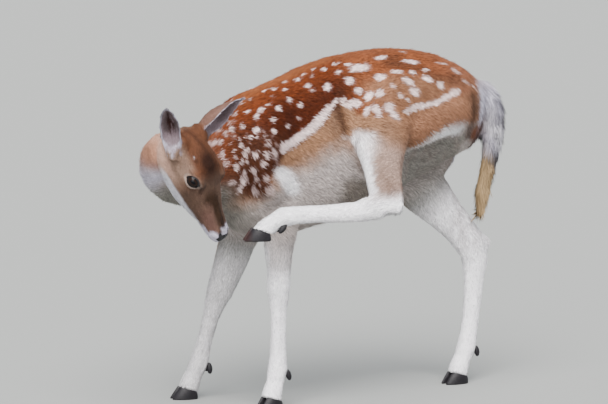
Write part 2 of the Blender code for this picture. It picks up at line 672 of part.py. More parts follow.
def islands(mesh_source):
    """The separate closed shells of a mesh, each as a new mesh."""
    bm = bmesh.new()
    bm.from_mesh(mesh_source)
    bm.faces.ensure_lookup_table()
    unseen = set(bm.faces)
    shells = []
    while unseen:
        stack = [unseen.pop()]
        shell = set(stack)
        while stack:
            for edge in stack.pop().edges:
                for face in edge.link_faces:
                    if face in unseen:
                        unseen.discard(face)
                        shell.add(face)
                        stack.append(face)
        shells.append(sorted(shell, key=lambda face: face.index))
    shells.sort(key=lambda shell: shell[0].index)
    made = []
    for shell in shells:
        piece = bmesh.new()
        copies = {}
        for face in shell:
            for vert in face.verts:
                if vert not in copies:
                    copies[vert] = piece.verts.new(vert.co)
            piece.faces.new([copies[vert] for vert in face.verts])
        made.append(piece)
    bm.free()
    return made


def part_bodies(whole, collection):
    """Splits the cut body into its named parts. Crumbs left by the trims are dropped."""
    shells = []
    for piece in islands(whole.data):
        volume = abs(piece.calc_volume(signed=True))
        if volume > 2e-6:
            centre = sum((v.co for v in piece.verts), Vector()) / len(piece.verts)
            shells.append((piece, centre, volume))
    if len(shells) != len(PARTS):
        for piece, centre, volume in shells:
            print("piece at", [round(c, 3) for c in centre], "litres", round(volume * 1000, 3))
        print("pieces found:", len(shells), "expected:", len(PARTS))
    bodies = {}
    for name, seed in PARTS.items():
        seed = Vector(seed)
        piece, centre, volume = min(shells, key=lambda shell: (shell[1] - seed).length)
        shells = [shell for shell in shells if shell[0] is not piece]
        bodies[name] = mesh_object(name, piece, collection)
    return bodies


def whole_form(collection):
    bm = bmesh.new()
    trunk_form(bm)
    neck_form(bm)
    muscle_forms(bm)
    torso = melt(mesh_object("torso_form", bm, collection), 0.006, 16)
    bm = bmesh.new()
    bm.from_mesh(torso.data)
    leg_forms(bm)
    head_form(bm)
    return melt(mesh_object("whole_form", bm, collection), FORM_VOXEL, 5)


def stand_over_origin(objects):
    """Slides every part so that the middle of the whole animal's box is over the origin."""
    points = [v.co for obj in objects for v in obj.data.vertices]
    low = Vector([min(p[axis] for p in points) for axis in range(3)])
    high = Vector([max(p[axis] for p in points) for axis in range(3)])
    slide = Vector((-(low.x + high.x) / 2, -(low.y + high.y) / 2, -low.z))
    for obj in objects:
        obj.data.transform(Matrix.Translation(slide))
    print("slide to the origin", [round(c, 5) for c in slide])
    print("extent", [round(c, 4) for c in high - low])


def main():
    for obj in list(bpy.data.objects):
        bpy.data.objects.remove(obj)
    scene = bpy.context.scene
    helpers = bpy.data.collections.new("helpers")
    deer = bpy.data.collections.new("fallow_deer")
    scene.collection.children.link(helpers)
    scene.collection.children.link(deer)

    coat = material("coat", (0.34, 0.14, 0.06), 0.85)
    pale_coat = material("pale_coat", (0.62, 0.58, 0.55), 0.85)
    ear_skin = material("ear_skin", (0.24, 0.17, 0.14), 0.8)
    horn = material("hoof_horn", (0.030, 0.027, 0.030), 0.45)
    eye = material("eye", (0.012, 0.008, 0.006), 0.08)

    attached = {}
    attached["tail"] = (tail_solid("tail", deer), pale_coat)
    for name, side in (("left", 1), ("right", -1)):
        attached["eye_" + name] = (eye_solid("eye_" + name, side, deer), eye)
        attached["ear_" + name] = (ear_solid("ear_" + name, deer), ear_skin)
    for foot in FEET:
        for name, side in (("left", 1), ("right", -1)):
            dewclaw = foot + "_dewclaw_" + name
            attached[dewclaw] = (dewclaw_solid(dewclaw, foot, side, deer), horn)

    whole = whole_form(helpers)
    whole = reduced(whole, "reduced_form", BODY_TRIANGLES, helpers)
    boolean(whole, parting_cutter(helpers), "DIFFERENCE")
    boolean(whole, throat_cutter(helpers), "DIFFERENCE")
    seats = bmesh.new()
    for obj, _ in attached.values():
        seat = inflated(obj, SEAT_GAP, helpers)
        seats.from_mesh(seat.data)
    boolean(whole, mesh_object("seats", seats, helpers), "DIFFERENCE")
    bodies = part_bodies(whole, deer)
    for name, body in bodies.items():
        body.data.materials.append(pale_coat if "_" in name and "neck" not in name else coat)
    for obj, look in attached.values():
        obj.data.materials.append(look)
    for foot in FEET:
        for name, side in (("left", 1), ("right", -1)):
            claw = claw_solid(foot + "_claw_" + name, foot, side, deer)
            claw.data.materials.append(horn)

    stand_over_origin(deer.objects)
    for obj in deer.objects:
        obj.data.polygons.foreach_set("use_smooth", [True] * len(obj.data.polygons))
    for obj in helpers.objects:
        obj.hide_render = True
        obj.display_type = "WIRE"


main()
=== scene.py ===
import math

import bmesh
import bpy
import numpy as np
from mathutils import Matrix, Vector
from mathutils.bvhtree import BVHTree


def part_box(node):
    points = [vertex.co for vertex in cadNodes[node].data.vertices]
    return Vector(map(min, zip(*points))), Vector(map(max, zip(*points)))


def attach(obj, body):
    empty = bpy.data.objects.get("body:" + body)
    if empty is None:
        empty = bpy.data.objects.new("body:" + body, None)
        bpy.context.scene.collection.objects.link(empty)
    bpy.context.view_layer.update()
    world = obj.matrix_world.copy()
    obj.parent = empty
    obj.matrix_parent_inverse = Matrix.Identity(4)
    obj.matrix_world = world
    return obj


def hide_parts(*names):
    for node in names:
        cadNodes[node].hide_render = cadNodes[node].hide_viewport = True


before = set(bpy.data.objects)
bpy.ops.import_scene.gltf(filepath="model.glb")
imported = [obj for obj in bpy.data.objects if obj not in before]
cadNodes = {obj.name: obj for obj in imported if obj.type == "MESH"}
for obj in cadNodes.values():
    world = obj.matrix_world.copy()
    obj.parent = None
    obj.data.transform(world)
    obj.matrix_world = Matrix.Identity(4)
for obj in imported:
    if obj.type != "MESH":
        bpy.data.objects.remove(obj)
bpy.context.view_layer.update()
scene = bpy.context.scene
print("frame loaded")

# A fallow deer bent round to nuzzle its raised hind foot. x runs towards the rump, z is up,
# and the raised leg is on the low y side. Lengths are metres unless a note says millimetres.

feet = ("fore_left", "fore_right", "hind_right", "hind_left")


def legParts(foot):
    upper = "_forearm" if foot.startswith("fore") else "_shank"
    return [foot + part for part in (upper, "_cannon", "_pastern")]


forelegs, hindlegs = [legParts(first) + legParts(second) for first, second in (feet[:2], feet[2:])]
fleshNodes = ["trunk", "neck_base", "neck_bend", "head", "tail", "ear_left", "ear_right"] + forelegs + hindlegs


def nodeMiddle(name):
    low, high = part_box(name)
    return (low + high) / 2


def unit(vector):
    return vector / np.maximum(np.linalg.norm(vector, axis=-1, keepdims=True), 1e-12)


def ramp(value, low, high):
    # softly from 0 at low to 1 at high, which may also be the smaller of the two
    share = np.clip((value - low) / (high - low), 0, 1)
    return share * share * (3 - 2 * share)


def plateau(value, start, full, ebb, end):
    # up from start to full, and down again from ebb to end
    return ramp(value, start, full) * ramp(value, end, ebb)


def distanceTo(points, place):
    return np.linalg.norm(points - np.array(place), axis=1)


def bell(value, middle, width):
    return np.exp(-(((value - middle) / width) ** 2))


def mixed(first, second, share):
    return first + (np.asarray(second) - first) * np.asarray(share)[..., None]


def paint(red, green, blue):
    # a colour given from 0 to 255 as it looks, turned into light
    tone = np.array([red, green, blue]) / 255
    return np.where(tone <= 0.04045, tone / 12.92, ((tone + 0.055) / 1.055) ** 2.4)


lattice = {"axes": (73856093, 19349663, 83492791), "seed": 2654435761, "stir": 1274126177}  # large primes


def noise(points, size, seed=0):
    # soft lumps of about that size, from -1 to 1
    place = np.asarray(points) / size
    cell = np.floor(place).astype(np.int64)
    part = place - cell
    part = part * part * (3 - 2 * part)
    total = np.zeros(len(place))
    for corner in range(8):
        step = np.array([corner & 1, corner >> 1 & 1, corner >> 2 & 1])
        bits = np.bitwise_xor.reduce((cell + step) * lattice["axes"], axis=1) ^ (seed * lattice["seed"])
        bits = (bits ^ (bits >> 13)) * lattice["stir"]
        value = ((bits ^ (bits >> 16)) & 65535) / 32767.5 - 1
        total += value * np.prod(np.where(step, part, 1 - part), axis=1)
    return total


head = {
    "forward": (0.340, -0.300, -0.891),  # from the poll to the nose
    "up": (0.295, -0.865, 0.405),  # out of the forehead
    "eyeForward": 0.115,
    "eyeUp": 0.0215,
}
headForward = Vector(head["forward"]).normalized()
headUp = Vector(head["up"])
headUp = (headUp - headUp.dot(headForward) * headForward).normalized()
headLeft = headUp.cross(headForward)
eyeCentres = {side: nodeMiddle("eye_" + side) for side in ("left", "right")}
eyeRadius = (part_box("eye_left")[1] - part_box("eye_left")[0]).x / 2
eyesMiddle = (eyeCentres["left"] + eyeCentres["right"]) / 2
headOrigin = np.array(eyesMiddle - headForward * head["eyeForward"] - headUp * head["eyeUp"])
headAxes = np.array([headForward, headLeft, headUp])  # rows


def inHead(points):
    # forward from the poll, to the left and out of the forehead
    return (points - headOrigin) @ headAxes.T


ears = {  # core, the dark hollow: along, its reach, turn and its reach in degrees, and how dark
    "left": {
        "tip": (-0.265, 0.573, 0.776), "opening": (0.646, 0.193, 0.738), "root": (0.040, 0.042, 0.018),
        "length": 0.130, "core": (0.62, 0.20, 42, 20, 0.48), "rim": 0.0032,
    },
    "right": {
        "tip": (-0.78, -0.30, 0.60), "opening": (-0.05, -0.75, 0.50), "root": (0.053, -0.054, 0.010),
        "length": 0.134, "core": (0.64, 0.24, 4, 36, 0.95), "rim": 0.0042,
    },
}
for side, ear in ears.items():
    ear["rootPoint"] = headOrigin + np.array(ear["root"]) @ headAxes
    ear["tipWay"] = unit(np.array(ear["tip"]) @ headAxes)
    opening = np.array(ear["opening"]) @ headAxes
    ear["openWay"] = unit(opening - (opening @ ear["tipWay"]) * ear["tipWay"])
    ear["acrossWay"] = np.cross(ear["tipWay"], ear["openWay"])

skinBuild = {
    "mergeGap": 0.00002,
    "voxel": 0.0075,
    "swell": 0.0012,
    "earSwell": 0.0036,
    "bodySmoothing": 26,
    "limbSmoothing": 5,
    "faceSmoothing": 3,
    "smoothing": (0.6, -0.62),  # in and out again, so that nothing shrinks
    "limbShare": 0.8,
    "faceShare": 0.55,
    "lidThickness": 0.0013,
}


def mergedCopy(name, swell):
    made = bmesh.new()
    made.from_mesh(cadNodes[name].data)
    bmesh.ops.remove_doubles(made, verts=made.verts, dist=skinBuild["mergeGap"])
    bmesh.ops.recalc_face_normals(made, faces=made.faces)
    made.normal_update()
    for vert, way in [(vert, vert.normal.copy()) for vert in made.verts]:
        vert.co += way * swell
    return made


def meshFrom(form, name):
    made = bpy.data.meshes.new(name)
    form.to_mesh(made)
    form.free()
    return made


def addObject(name, mesh):
    made = bpy.data.objects.new(name, mesh)
    scene.collection.objects.link(made)
    return made


def remeshed(mesh, voxel):
    source = addObject("fleshForm", mesh)
    melt = source.modifiers.new("melt", "REMESH")
    melt.mode = "VOXEL"
    melt.voxel_size = voxel
    result = bpy.data.meshes.new_from_object(source.evaluated_get(bpy.context.evaluated_depsgraph_get()))
    bpy.data.objects.remove(source)
    return result


def listOf(collection, key, width, kind=float):
    # one value of each item of a mesh, in rows of that width
    flat = np.empty(len(collection) * width, kind)
    collection.foreach_get(key, flat)
    return flat.reshape(-1, width)


def normalsOf(mesh):
    return listOf(mesh.vertex_normals, "vector", 3, np.float32).astype(float)


class Web:
    # the edges of a mesh, for spreading values over it

    def __init__(self, mesh):
        ends = listOf(mesh.edges, "vertices", 2, np.int64)
        self.count = len(mesh.vertices)
        self.a, self.b = ends.T
        self.degree = np.maximum(np.bincount(ends.ravel(), minlength=self.count), 1)[:, None]

    def spread(self, values):
        out = np.empty_like(values)
        for k in range(values.shape[1]):
            column = values[:, k]
            out[:, k] = np.bincount(self.a, column[self.b], self.count)
            out[:, k] += np.bincount(self.b, column[self.a], self.count)
        return out / self.degree

    def softened(self, values, rounds, share=1.0):
        for _ in range(rounds):
            values = values + (self.spread(values) - values) * share
        return values

    def softenedShare(self, values, rounds):
        return self.softened(np.asarray(values)[:, None].astype(float), rounds)[:, 0]


flesh = bmesh.new()
fleshCorners, fleshFaces, faceRegion = [], [], []
for number, name in enumerate(fleshNodes + ["eye_left", "eye_right"]):
    swell = skinBuild["earSwell"] if name.startswith("ear") else skinBuild["swell"]
    holder = meshFrom(mergedCopy(name, swell), "part")
    flesh.from_mesh(holder)
    bpy.data.meshes.remove(holder)
    plain = mergedCopy(name, 0)
    start = len(fleshCorners)
    fleshCorners += [tuple(vert.co) for vert in plain.verts]
    plain.verts.index_update()
    fleshFaces += [tuple(start + vert.index for vert in face.verts) for face in plain.faces]
    region = min(number, fleshNodes.index("head") if name.startswith("eye") else number)
    faceRegion += [region] * len(plain.faces)
    plain.free()
cadTree = BVHTree.FromPolygons(fleshCorners, fleshFaces)
faceRegion = np.array(faceRegion)
regionOf = {name: number for number, name in enumerate(fleshNodes)}
skinMesh = remeshed(meshFrom(flesh, "fleshForm"), skinBuild["voxel"])
print("skin remeshed", len(skinMesh.polygons))


def nearestOnFlesh(points):
    places, regions = np.empty_like(points), np.empty(len(points), np.int64)
    for k, point in enumerate(points):
        place, _, face, _ = cadTree.find_nearest(point)
        places[k] = place
        regions[k] = faceRegion[face]
    return places, regions


def refine(mesh, wanted):
    # one finer grid where wanted(face middles) says so
    made = bmesh.new()
    made.from_mesh(mesh)
    middles = np.array([face.calc_center_median() for face in made.faces])
    chosen = wanted(middles)
    edges = {edge for face, want in zip(made.faces, chosen) if want for edge in face.edges}
    bmesh.ops.subdivide_edges(made, edges=list(edges), cuts=1, use_grid_fill=True)
    bmesh.ops.triangulate(made, faces=[face for face in made.faces if len(face.verts) > 4])
    made.to_mesh(mesh)
    made.free()


def eyeDistance(points):
    return np.min([distanceTo(points, centre) for centre in eyeCentres.values()], axis=0)


finer = {"muzzle": 0.195, "nose": 0.228, "roundEyes": 0.034, "lids": 0.0225, "face": 0.2}
fineNodes = {"head", "ear_left", "ear_right"} | {name for name in forelegs + hindlegs if not name.endswith("_shank")}
fineRegions = [regionOf[name] for name in fineNodes]
earRegions = [regionOf["ear_left"], regionOf["ear_right"]]


def faceOrEar(middles):
    regions = nearestOnFlesh(middles)[1]
    onHead = regions == regionOf["head"]
    muzzle = inHead(middles)[:, 0] > finer["muzzle"]
    return np.isin(regions, earRegions) | onHead & (muzzle | (eyeDistance(middles) < finer["roundEyes"]))


def lidsOrNose(middles):
    gap = eyeDistance(middles)
    return (gap < finer["lids"]) | (inHead(middles)[:, 0] > finer["nose"]) & (gap < finer["face"])


refine(skinMesh, lambda middles: np.isin(nearestOnFlesh(middles)[1], fineRegions))
refine(skinMesh, faceOrEar)
refine(skinMesh, lidsOrNose)
print("skin refined", len(skinMesh.polygons))

web = Web(skinMesh)
points = listOf(skinMesh.vertices, "co", 3)
nearest, region = nearestOnFlesh(points)
limb = np.isin(region, [regionOf[name] for name in forelegs + hindlegs])
isHead = region == regionOf["head"]
isEar = np.isin(region, earRegions)
fine = (isHead | isEar).astype(float)
points[isHead | isEar | limb] = nearest[isHead | isEar | limb]
body = 1 - web.softenedShare(np.maximum(fine, limb), 8)
limbShare = web.softenedShare(limb, 4)
for turn in range(skinBuild["bodySmoothing"]):
    share = np.maximum(body, limbShare * (turn < skinBuild["limbSmoothing"]) * skinBuild["limbShare"])
    share = np.maximum(share, fine * skinBuild["faceShare"] * (turn < skinBuild["faceSmoothing"]))
    for strength in skinBuild["smoothing"]:
        points = web.softened(points, 1, (strength * share)[:, None])
skinMesh.vertices.foreach_set("co", points.ravel())
skinMesh.update()

coat = {  # how deep the coat is, a tuft's length and width, and tufts to the square metre
    "trunk": (0.0050, 0.0150, 0.0017, 188000),
    "neck": (0.0044, 0.0135, 0.0018, 180000),
    "tail": (0.0090, 0.0340, 0.0019, 260000),
    "head": (0.0018, 0.0070, 0.0011, 250000),
    "ear": (0.0008, 0.0065, 0.0009, 290000),
    "forearm": (0.0028, 0.0100, 0.0015, 150000),
    "shank": (0.0036, 0.0120, 0.0017, 150000),
    "cannon": (0.0018, 0.0080, 0.0013, 160000),
    "pastern": (0.0018, 0.0075, 0.0013, 160000),
}


def coatKind(name):
    return next(kind for kind in coat if name.startswith(kind) or name.endswith("_" + kind))


coatTable = np.array([coat[coatKind(name)] for name in fleshNodes])
hair = web.softened(coatTable[region], 6)  # depth, length, width and count at each point of the skin
normals = normalsOf(skinMesh)
points = points - normals * hair[:, :1]
print("skin set inside the coat")

lids = {
    "halfLength": 0.0150, "halfHeight": 0.0108, "outward": (0.20, 0.60), "slant": 0.50, "wall": 0.0028,
    "reach": 0.034, "creaseDepth": 0.0011, "colourReach": 0.036,
}
eyeFrames = {}
for side, sign in (("left", 1), ("right", -1)):
    out = unit(np.array([lids["outward"][0], sign, lids["outward"][1]]) @ headAxes)
    along = np.array([1, 0, lids["slant"]]) @ headAxes
    along = unit(along - (along @ out) * out)
    above = np.cross(out, along) * sign
    eyeFrames[side] = (np.array(eyeCentres[side]), out, along, above)


def lidShare(points, side):
    # below 1 inside the opening between the lids
    centre, out, along, above = eyeFrames[side]
    offset = points - centre
    a, b = offset @ along / lids["halfLength"], offset @ above / lids["halfHeight"]
    b = np.where(b > 0, b * 0.96, b * 1.05)
    share = np.sqrt(a * a + b * b * (1 + 0.35 * np.clip(np.abs(a), 0, 1) ** 3))
    return np.where(offset @ out > 0, share, 9.0)


for side, (centre, out, along, above) in eyeFrames.items():
    offset = points - centre
    distance = np.linalg.norm(offset, axis=1)
    share = lidShare(points, side)
    near = (distance < lids["reach"]) & (share < 2.2)
    ray = offset / np.maximum(distance, 1e-6)[:, None]
    rim = eyeRadius + skinBuild["lidThickness"] * (1 - 0.35 * ramp(share, 1.1, 1.5))
    target = np.where(share < 1.0, eyeRadius - lids["wall"], rim)
    target = np.maximum(target, 0) + (np.maximum(distance, eyeRadius + 0.0009) - target) * ramp(share, 1.06, 1.75)
    points = np.where(near[:, None], centre + ray * target[:, None], points)
    fold = bell(share, 1.42, 0.09) * ((points - centre) @ above > 0)  # the crease above the upper lid
    points = points - normals * (fold * near * lids["creaseDepth"])[:, None]

face = {
    "nostril": (0.2455, 0.0125, -0.0035),
    "nostrilSize": (0.0058, 0.0030, 0.0042),
    "mouth": [(0.260, 0.000, -0.0200), (0.252, 0.0120, -0.0215), (0.236, 0.0205, -0.0235),
              (0.214, 0.0265, -0.0255), (0.194, 0.0300, -0.0245)],
    "duct": [(0.1310, 0.0455, 0.0340), (0.1400, 0.0410, 0.0270), (0.1490, 0.0350, 0.0190)],
}


def lineDistance(points, corners):
    best = np.full(len(points), 9.0)
    for start, end in zip(corners[:-1], corners[1:]):
        a, b = np.array(start), np.array(end)
        share = np.clip((points - a) @ (b - a) / ((b - a) @ (b - a)), 0, 1)
        best = np.minimum(best, distanceTo(points - a, share[:, None] * (b - a)))
    return best


def bothSides(points):
    # places in the head, with its right half laid over its left
    return inHead(points) * [1, 0, 1] + np.abs(inHead(points)) * [0, 1, 0]


normals = normalsOf(skinMesh)
halfHead = bothSides(points)
nostril = np.linalg.norm((halfHead - face["nostril"]) / face["nostrilSize"], axis=1)
mouth = lineDistance(halfHead, face["mouth"])
sink = 0.0042 * bell(nostril, 0, 1) + 0.0016 * bell(mouth, 0, 0.0020)
sink = sink + 0.0010 * bell(lineDistance(halfHead, face["duct"]), 0, 0.0018)
rimRise = 0.0009 * bell(nostril, 1.7, 0.4) + 0.0006 * bell(mouth, 0.0045, 0.0018)
points = points - normals * ((sink - rimRise) * isHead)[:, None]
skinMesh.vertices.foreach_set("co", points.ravel())
skinMesh.update()
normals = normalsOf(skinMesh)
print("face shaped")

# the lie of the coat, which runs along each chain of parts
lieOf = {"trunk": (1.0, 0.0, -0.12), "tail": (0.05, -0.02, -1.0), "rounds": 14, "share": 0.9, "swirl": (0.22, 0.14)}
chains = [(["head", "neck_bend", "neck_base", "trunk"], ["neck_bend", "neck_base"])]
chains += [(legParts(foot) + [foot + "_claw_left"], legParts(foot)) for foot in feet]
spine = {"from": -0.24, "to": 0.41, "stops": 14, "strip": 0.03, "ridge": 0.012}
spineSamples = listOf(cadNodes["trunk"].data.vertices, "co", 3)
spineX = np.linspace(spine["from"], spine["to"], spine["stops"])
spineZ, spineY = [], []
for x in spineX:
    strip = spineSamples[np.abs(spineSamples[:, 0] - x) < spine["strip"]]
    high = strip[strip[:, 2] > strip[:, 2].max() - spine["ridge"]]
    spineZ.append(strip[:, 2].max())
    spineY.append(high[:, 1].mean())
spineY = np.convolve(np.pad(spineY, 2, "edge"), np.ones(5) / 5, "valid")


def besideSpine(points):
    # how far out from the back line and below it
    out = points[:, 1] - np.interp(points[:, 0], spineX, spineY)
    down = np.interp(points[:, 0], spineX, spineZ) - points[:, 2]
    return out, down


lie = np.tile(np.array(lieOf["trunk"]), (len(points), 1))
x, y, z = points.T
out, down = besideSpine(points)
onTrunk = region == regionOf["trunk"]
lie[:, 2] -= 0.55 * ramp(np.abs(out), 0.02, 0.10) * onTrunk
lie[:, 2] -= 1.3 * ramp(x, 0.24, 0.40) * onTrunk
lie[:, 2] -= 1.2 * ramp(-x, 0.17, 0.25) * ramp(0.62 - z, 0, 0.1) * onTrunk
for names, used in chains:
    stops = np.array([nodeMiddle(name) for name in names])
    ways = unit(np.gradient(stops, axis=0))
    for name in used:
        chosen = region == regionOf[name]
        gaps = np.linalg.norm(points[chosen][:, None] - stops[None], axis=2)
        weight = 1 / (gaps + 0.01) ** 3
        lie[chosen] = unit((weight[:, :, None] * ways[None]).sum(1))
lie[isHead] = -headAxes[0] + 0.1 * headAxes[2]
lie[region == regionOf["tail"]] = lieOf["tail"]
for side in ears:
    lie[region == regionOf["ear_" + side]] = ears[side]["tipWay"]
lie = unit(lie)
for _ in range(lieOf["rounds"]):
    lie = web.softened(lie, 1, lieOf["share"])
    lie = unit(lie - (lie * normals).sum(1)[:, None] * normals)
swirl = noise(points, 0.05, 3) * lieOf["swirl"][0] + noise(points, 0.018, 4) * lieOf["swirl"][1]
lie = unit(lie + np.cross(normals, lie) * swirl[:, None])
print("coat direction laid out")

# tones as they look. shade is painted shade; the fold brown and the shank brown are brown hair in places and painted
# shade in the fold, the crease and low on the belly
tones = {
    "chestnut": (96, 43, 14), "chestnutDeep": (66, 25, 5), "backOrange": (124, 70, 38),
    "hipTan": (130, 90, 66), "hipBrown": (118, 65, 37), "rumpTan": (138, 91, 69),
    "darkShoulder": (62, 32, 17), "flankTan": (140, 103, 77), "bellyCream": (172, 161, 157),
    "white": (186, 182, 198), "spotWhite": (232, 208, 206), "legWhite": (254, 250, 255),
    "neckTan": (142, 102, 82), "crownBrown": (84, 51, 33), "faceBrown": (81, 62, 52),
    "foreheadDark": (24, 8, 4), "cheekTan": (128, 104, 90), "cheekLight": (166, 134, 118),
    "eyeRing": (168, 150, 140), "jawWhite": (194, 192, 200), "bridgeBrown": (40, 25, 14),
    "muzzlePink": (84, 60, 53), "noseBlack": (8, 9, 11), "earInside": (92, 80, 82),
    "earCore": (38, 12, 7), "earHair": (128, 112, 118), "earBack": (106, 78, 68),
    "rumpBlack": (18, 13, 12), "tailTan": (158, 132, 98), "shankBrownAndShade": (96, 74, 62),
    "darkBrownAndCreaseShade": (62, 38, 25), "shade": (112, 110, 103),
}
tones = {name: paint(*light) for name, light in tones.items()}


class Paint:
    # colours laid over one another

    def __init__(self, points, name):
        self.tone = np.tile(tones[name], (len(points), 1))

    def lay(self, colour, share):
        self.tone = mixed(self.tone, tones[colour] if isinstance(colour, str) else colour, share)


heights = {  # lines across the flank, x and z in millimetres
    "lowerEdge": [
        (-260, 470), (-200, 500), (-160, 555), (-147, 578), (-90, 603), (-50, 626), (-20, 650), (20, 682),
        (35, 678), (50, 650), (150, 648), (190, 655), (230, 660), (280, 670), (330, 690), (400, 700),
    ],
    "bellyNear": [
        (-260, 440), (-200, 460), (-160, 505), (-100, 535), (-40, 537), (20, 548), (60, 545), (100, 560),
        (180, 577), (210, 593), (240, 607), (270, 616), (310, 623), (420, 627),
    ],
    "bellyFar": [
        (-260, 440), (-160, 490), (-50, 505), (80, 500), (200, 470), (420, 440),
    ],
}
strokes = {  # lines seen from the side, x and z
    "backBand": [(0.16, 0.756), (0.21, 0.749), (0.25, 0.730), (0.28, 0.720), (0.33, 0.712)],
    "fold": [(0.020, 0.700), (0.007, 0.668), (0.011, 0.635), (0.021, 0.604)],
    "crease": [(0.418, 0.640), (0.405, 0.612), (0.398, 0.575), (0.392, 0.560)],
}


def height(name, x):
    return np.interp(x, *(np.array(heights[name]).T / 1000))


# The numbers below are places on the body or in the head, where each tone fades in and out, and its strength.


def bodyTone(points, normals):
    x, y, z = points.T
    out, down = besideSpine(points)
    reach = np.hypot(out, down)
    near = ramp(out, 0.03, -0.03)
    far = 1 - near
    gaps = {name: lineDistance(points[:, [0, 2]], corners) for name, corners in strokes.items()}
    ragged = noise(points, 0.012, 11) * 0.006 + noise(points, 0.03, 12) * 0.006
    grain = noise(points * [1, 1, 0.35], 0.009, 15)
    streak = noise(points * [1, 1, 0.3], 0.008, 13)
    layers = Paint(points, "chestnut")
    lay = layers.lay
    lay("chestnutDeep", ramp(reach, 0.05, 0.11))
    lay("backOrange", ramp(reach, 0.050, 0.005))
    lay("hipBrown", ramp(x, 0.015, 0.09))
    hipTop = ramp(0.746 - z + ragged - 0.10 * np.abs(x - 0.16), 0, 0.036)
    lay("hipTan", ramp(x + 0.5 * ragged, 0.045, 0.115) * hipTop)
    lay("rumpTan", ramp(x, 0.24, 0.36) * (0.35 + 0.65 * ramp(down, 0.0, 0.08)))
    lay("darkBrownAndCreaseShade", bell(gaps["backBand"], -ragged, 0.011) * (0.55 + 0.2 * grain) * ramp(x, 0.36, 0.33))
    lay("darkShoulder", 0.9 * ramp(x, -0.10, -0.17) * ramp(z, 0.645, 0.595))
    tan = ramp(height("lowerEdge", x) - z + ragged, -0.004, 0.010)
    flank = mixed(tones["flankTan"], tones["rumpTan"], ramp(x, 0.05, 0.2) * 0.5)
    lay(flank, tan * (1 - 0.9 * ramp(x, -0.165, -0.19) * ramp(z, 0.47, 0.49)))

    # the pale belly, with a soft edge in front and a crisp one behind
    belly = height("bellyFar", x) + (height("bellyNear", x) - height("bellyFar", x)) * near
    belly = belly + 0.030 * near * plateau(x, -0.10, -0.01, 0.02, 0.06)
    softness = 0.050 - 0.042 * ramp(x, 0.08, 0.16) * near
    pale = ramp(belly - z + ragged, -softness * 0.7, softness * 0.5)
    inward = far * ramp(normals[:, 1], 0.25, -0.05) * ramp(x, 0.18, 0.26)
    outward = far * ramp(normals[:, 1], 0.05, 0.4) * ramp(x, 0.16, 0.24)
    lay("bellyCream", np.maximum(pale * (1 - outward * ramp(z, 0.40, 0.46)), inward * ramp(z, 0.60, 0.57)))
    dx, dz = x + 0.134, z - 0.514  # the white behind the elbow
    elbow = np.hypot((dx * 0.74 - dz * 0.67) / 0.042, (dx * 0.67 + dz * 0.74) / 0.021)
    lay("legWhite", 0.95 * ramp(1.25 - elbow + 20 * ragged, 0, 0.6) * near)
    # painted shade beside the fold between the flank and the raised thigh, and darker in the fold itself
    lay("shankBrownAndShade", 0.55 * near * bell(x, -0.004, 0.020) * plateau(z, 0.575, 0.63, 0.66, 0.68))
    foldShade = near * (0.85 - 0.4 * ramp(z, 0.66, 0.69) - 0.6 * ramp(z, 0.622, 0.607))
    lay("darkBrownAndCreaseShade", foldShade * bell(gaps["fold"], -0.5 * ragged, 0.0095))

    # the front of the raised thigh is white, its outside tan
    lower = ramp(z, 0.604, 0.584)
    thigh = near * ramp(x - 0.014 * lower, 0.006, 0.020) * ramp(x, 0.125, 0.095)
    thigh = thigh * ramp(0.622 - z + ragged * 2, 0, 0.03) * ramp(-y - 0.018 * lower, 0.027, 0.042)
    lay("flankTan", thigh)
    lay("shankBrownAndShade", near * bell(x, 0.095, 0.035) * plateau(z, 0.55, 0.60, 0.62, 0.65) * (0.35 + 0.25 * grain))
    front = np.maximum(ramp(-normals[:, 0] + ragged * 12, 0.30, 0.85), ramp(x, 0.034, 0.020) * (1 - lower))
    lay("legWhite", 0.92 * thigh * front * ramp(x + ragged, 0.078, 0.058))
    # painted shade, grey and brown, low on the belly beside the raised shank
    lay("shade", 0.75 * near * plateau(x, -0.015, 0.04, 0.09, 0.12) * ramp(0.520 - z + ragged, 0, 0.025))
    lay("shankBrownAndShade", 0.35 * near * plateau(x, 0.0, 0.04, 0.09, 0.12) * ramp(0.512 - z + ragged, 0, 0.02))
    # the far buttock's brown hair below the near one, with painted shade
    lay("darkBrownAndCreaseShade", 0.8 * near * ramp(x, 0.335, 0.355) * plateau(z, 0.570, 0.585, 0.61, 0.63))

    # shade under the chest and between the hind legs
    chest = ramp(x, -0.17, -0.23) * ramp(z, 0.475, 0.445)
    keel = 0.4 * ramp(-normals[:, 2], 0.5, 1.0) * ramp(z, 0.50, 0.45)
    groin = near * plateau(x, 0.14, 0.20, 0.34, 0.36) * ramp(0.585 - z + 0.12 * (x - 0.2), 0, 0.02)
    shaded = np.max([chest, keel, groin, inward * plateau(z, 0.42, 0.50, 0.56, 0.59) * 0.7], axis=0)
    lay("shade", 0.75 * shaded * (1 - 0.3 * streak))
    lay("shankBrownAndShade", 0.30 * shaded * ramp(streak, 0.0, 0.6) * ramp(x, 0.1, 0.2))

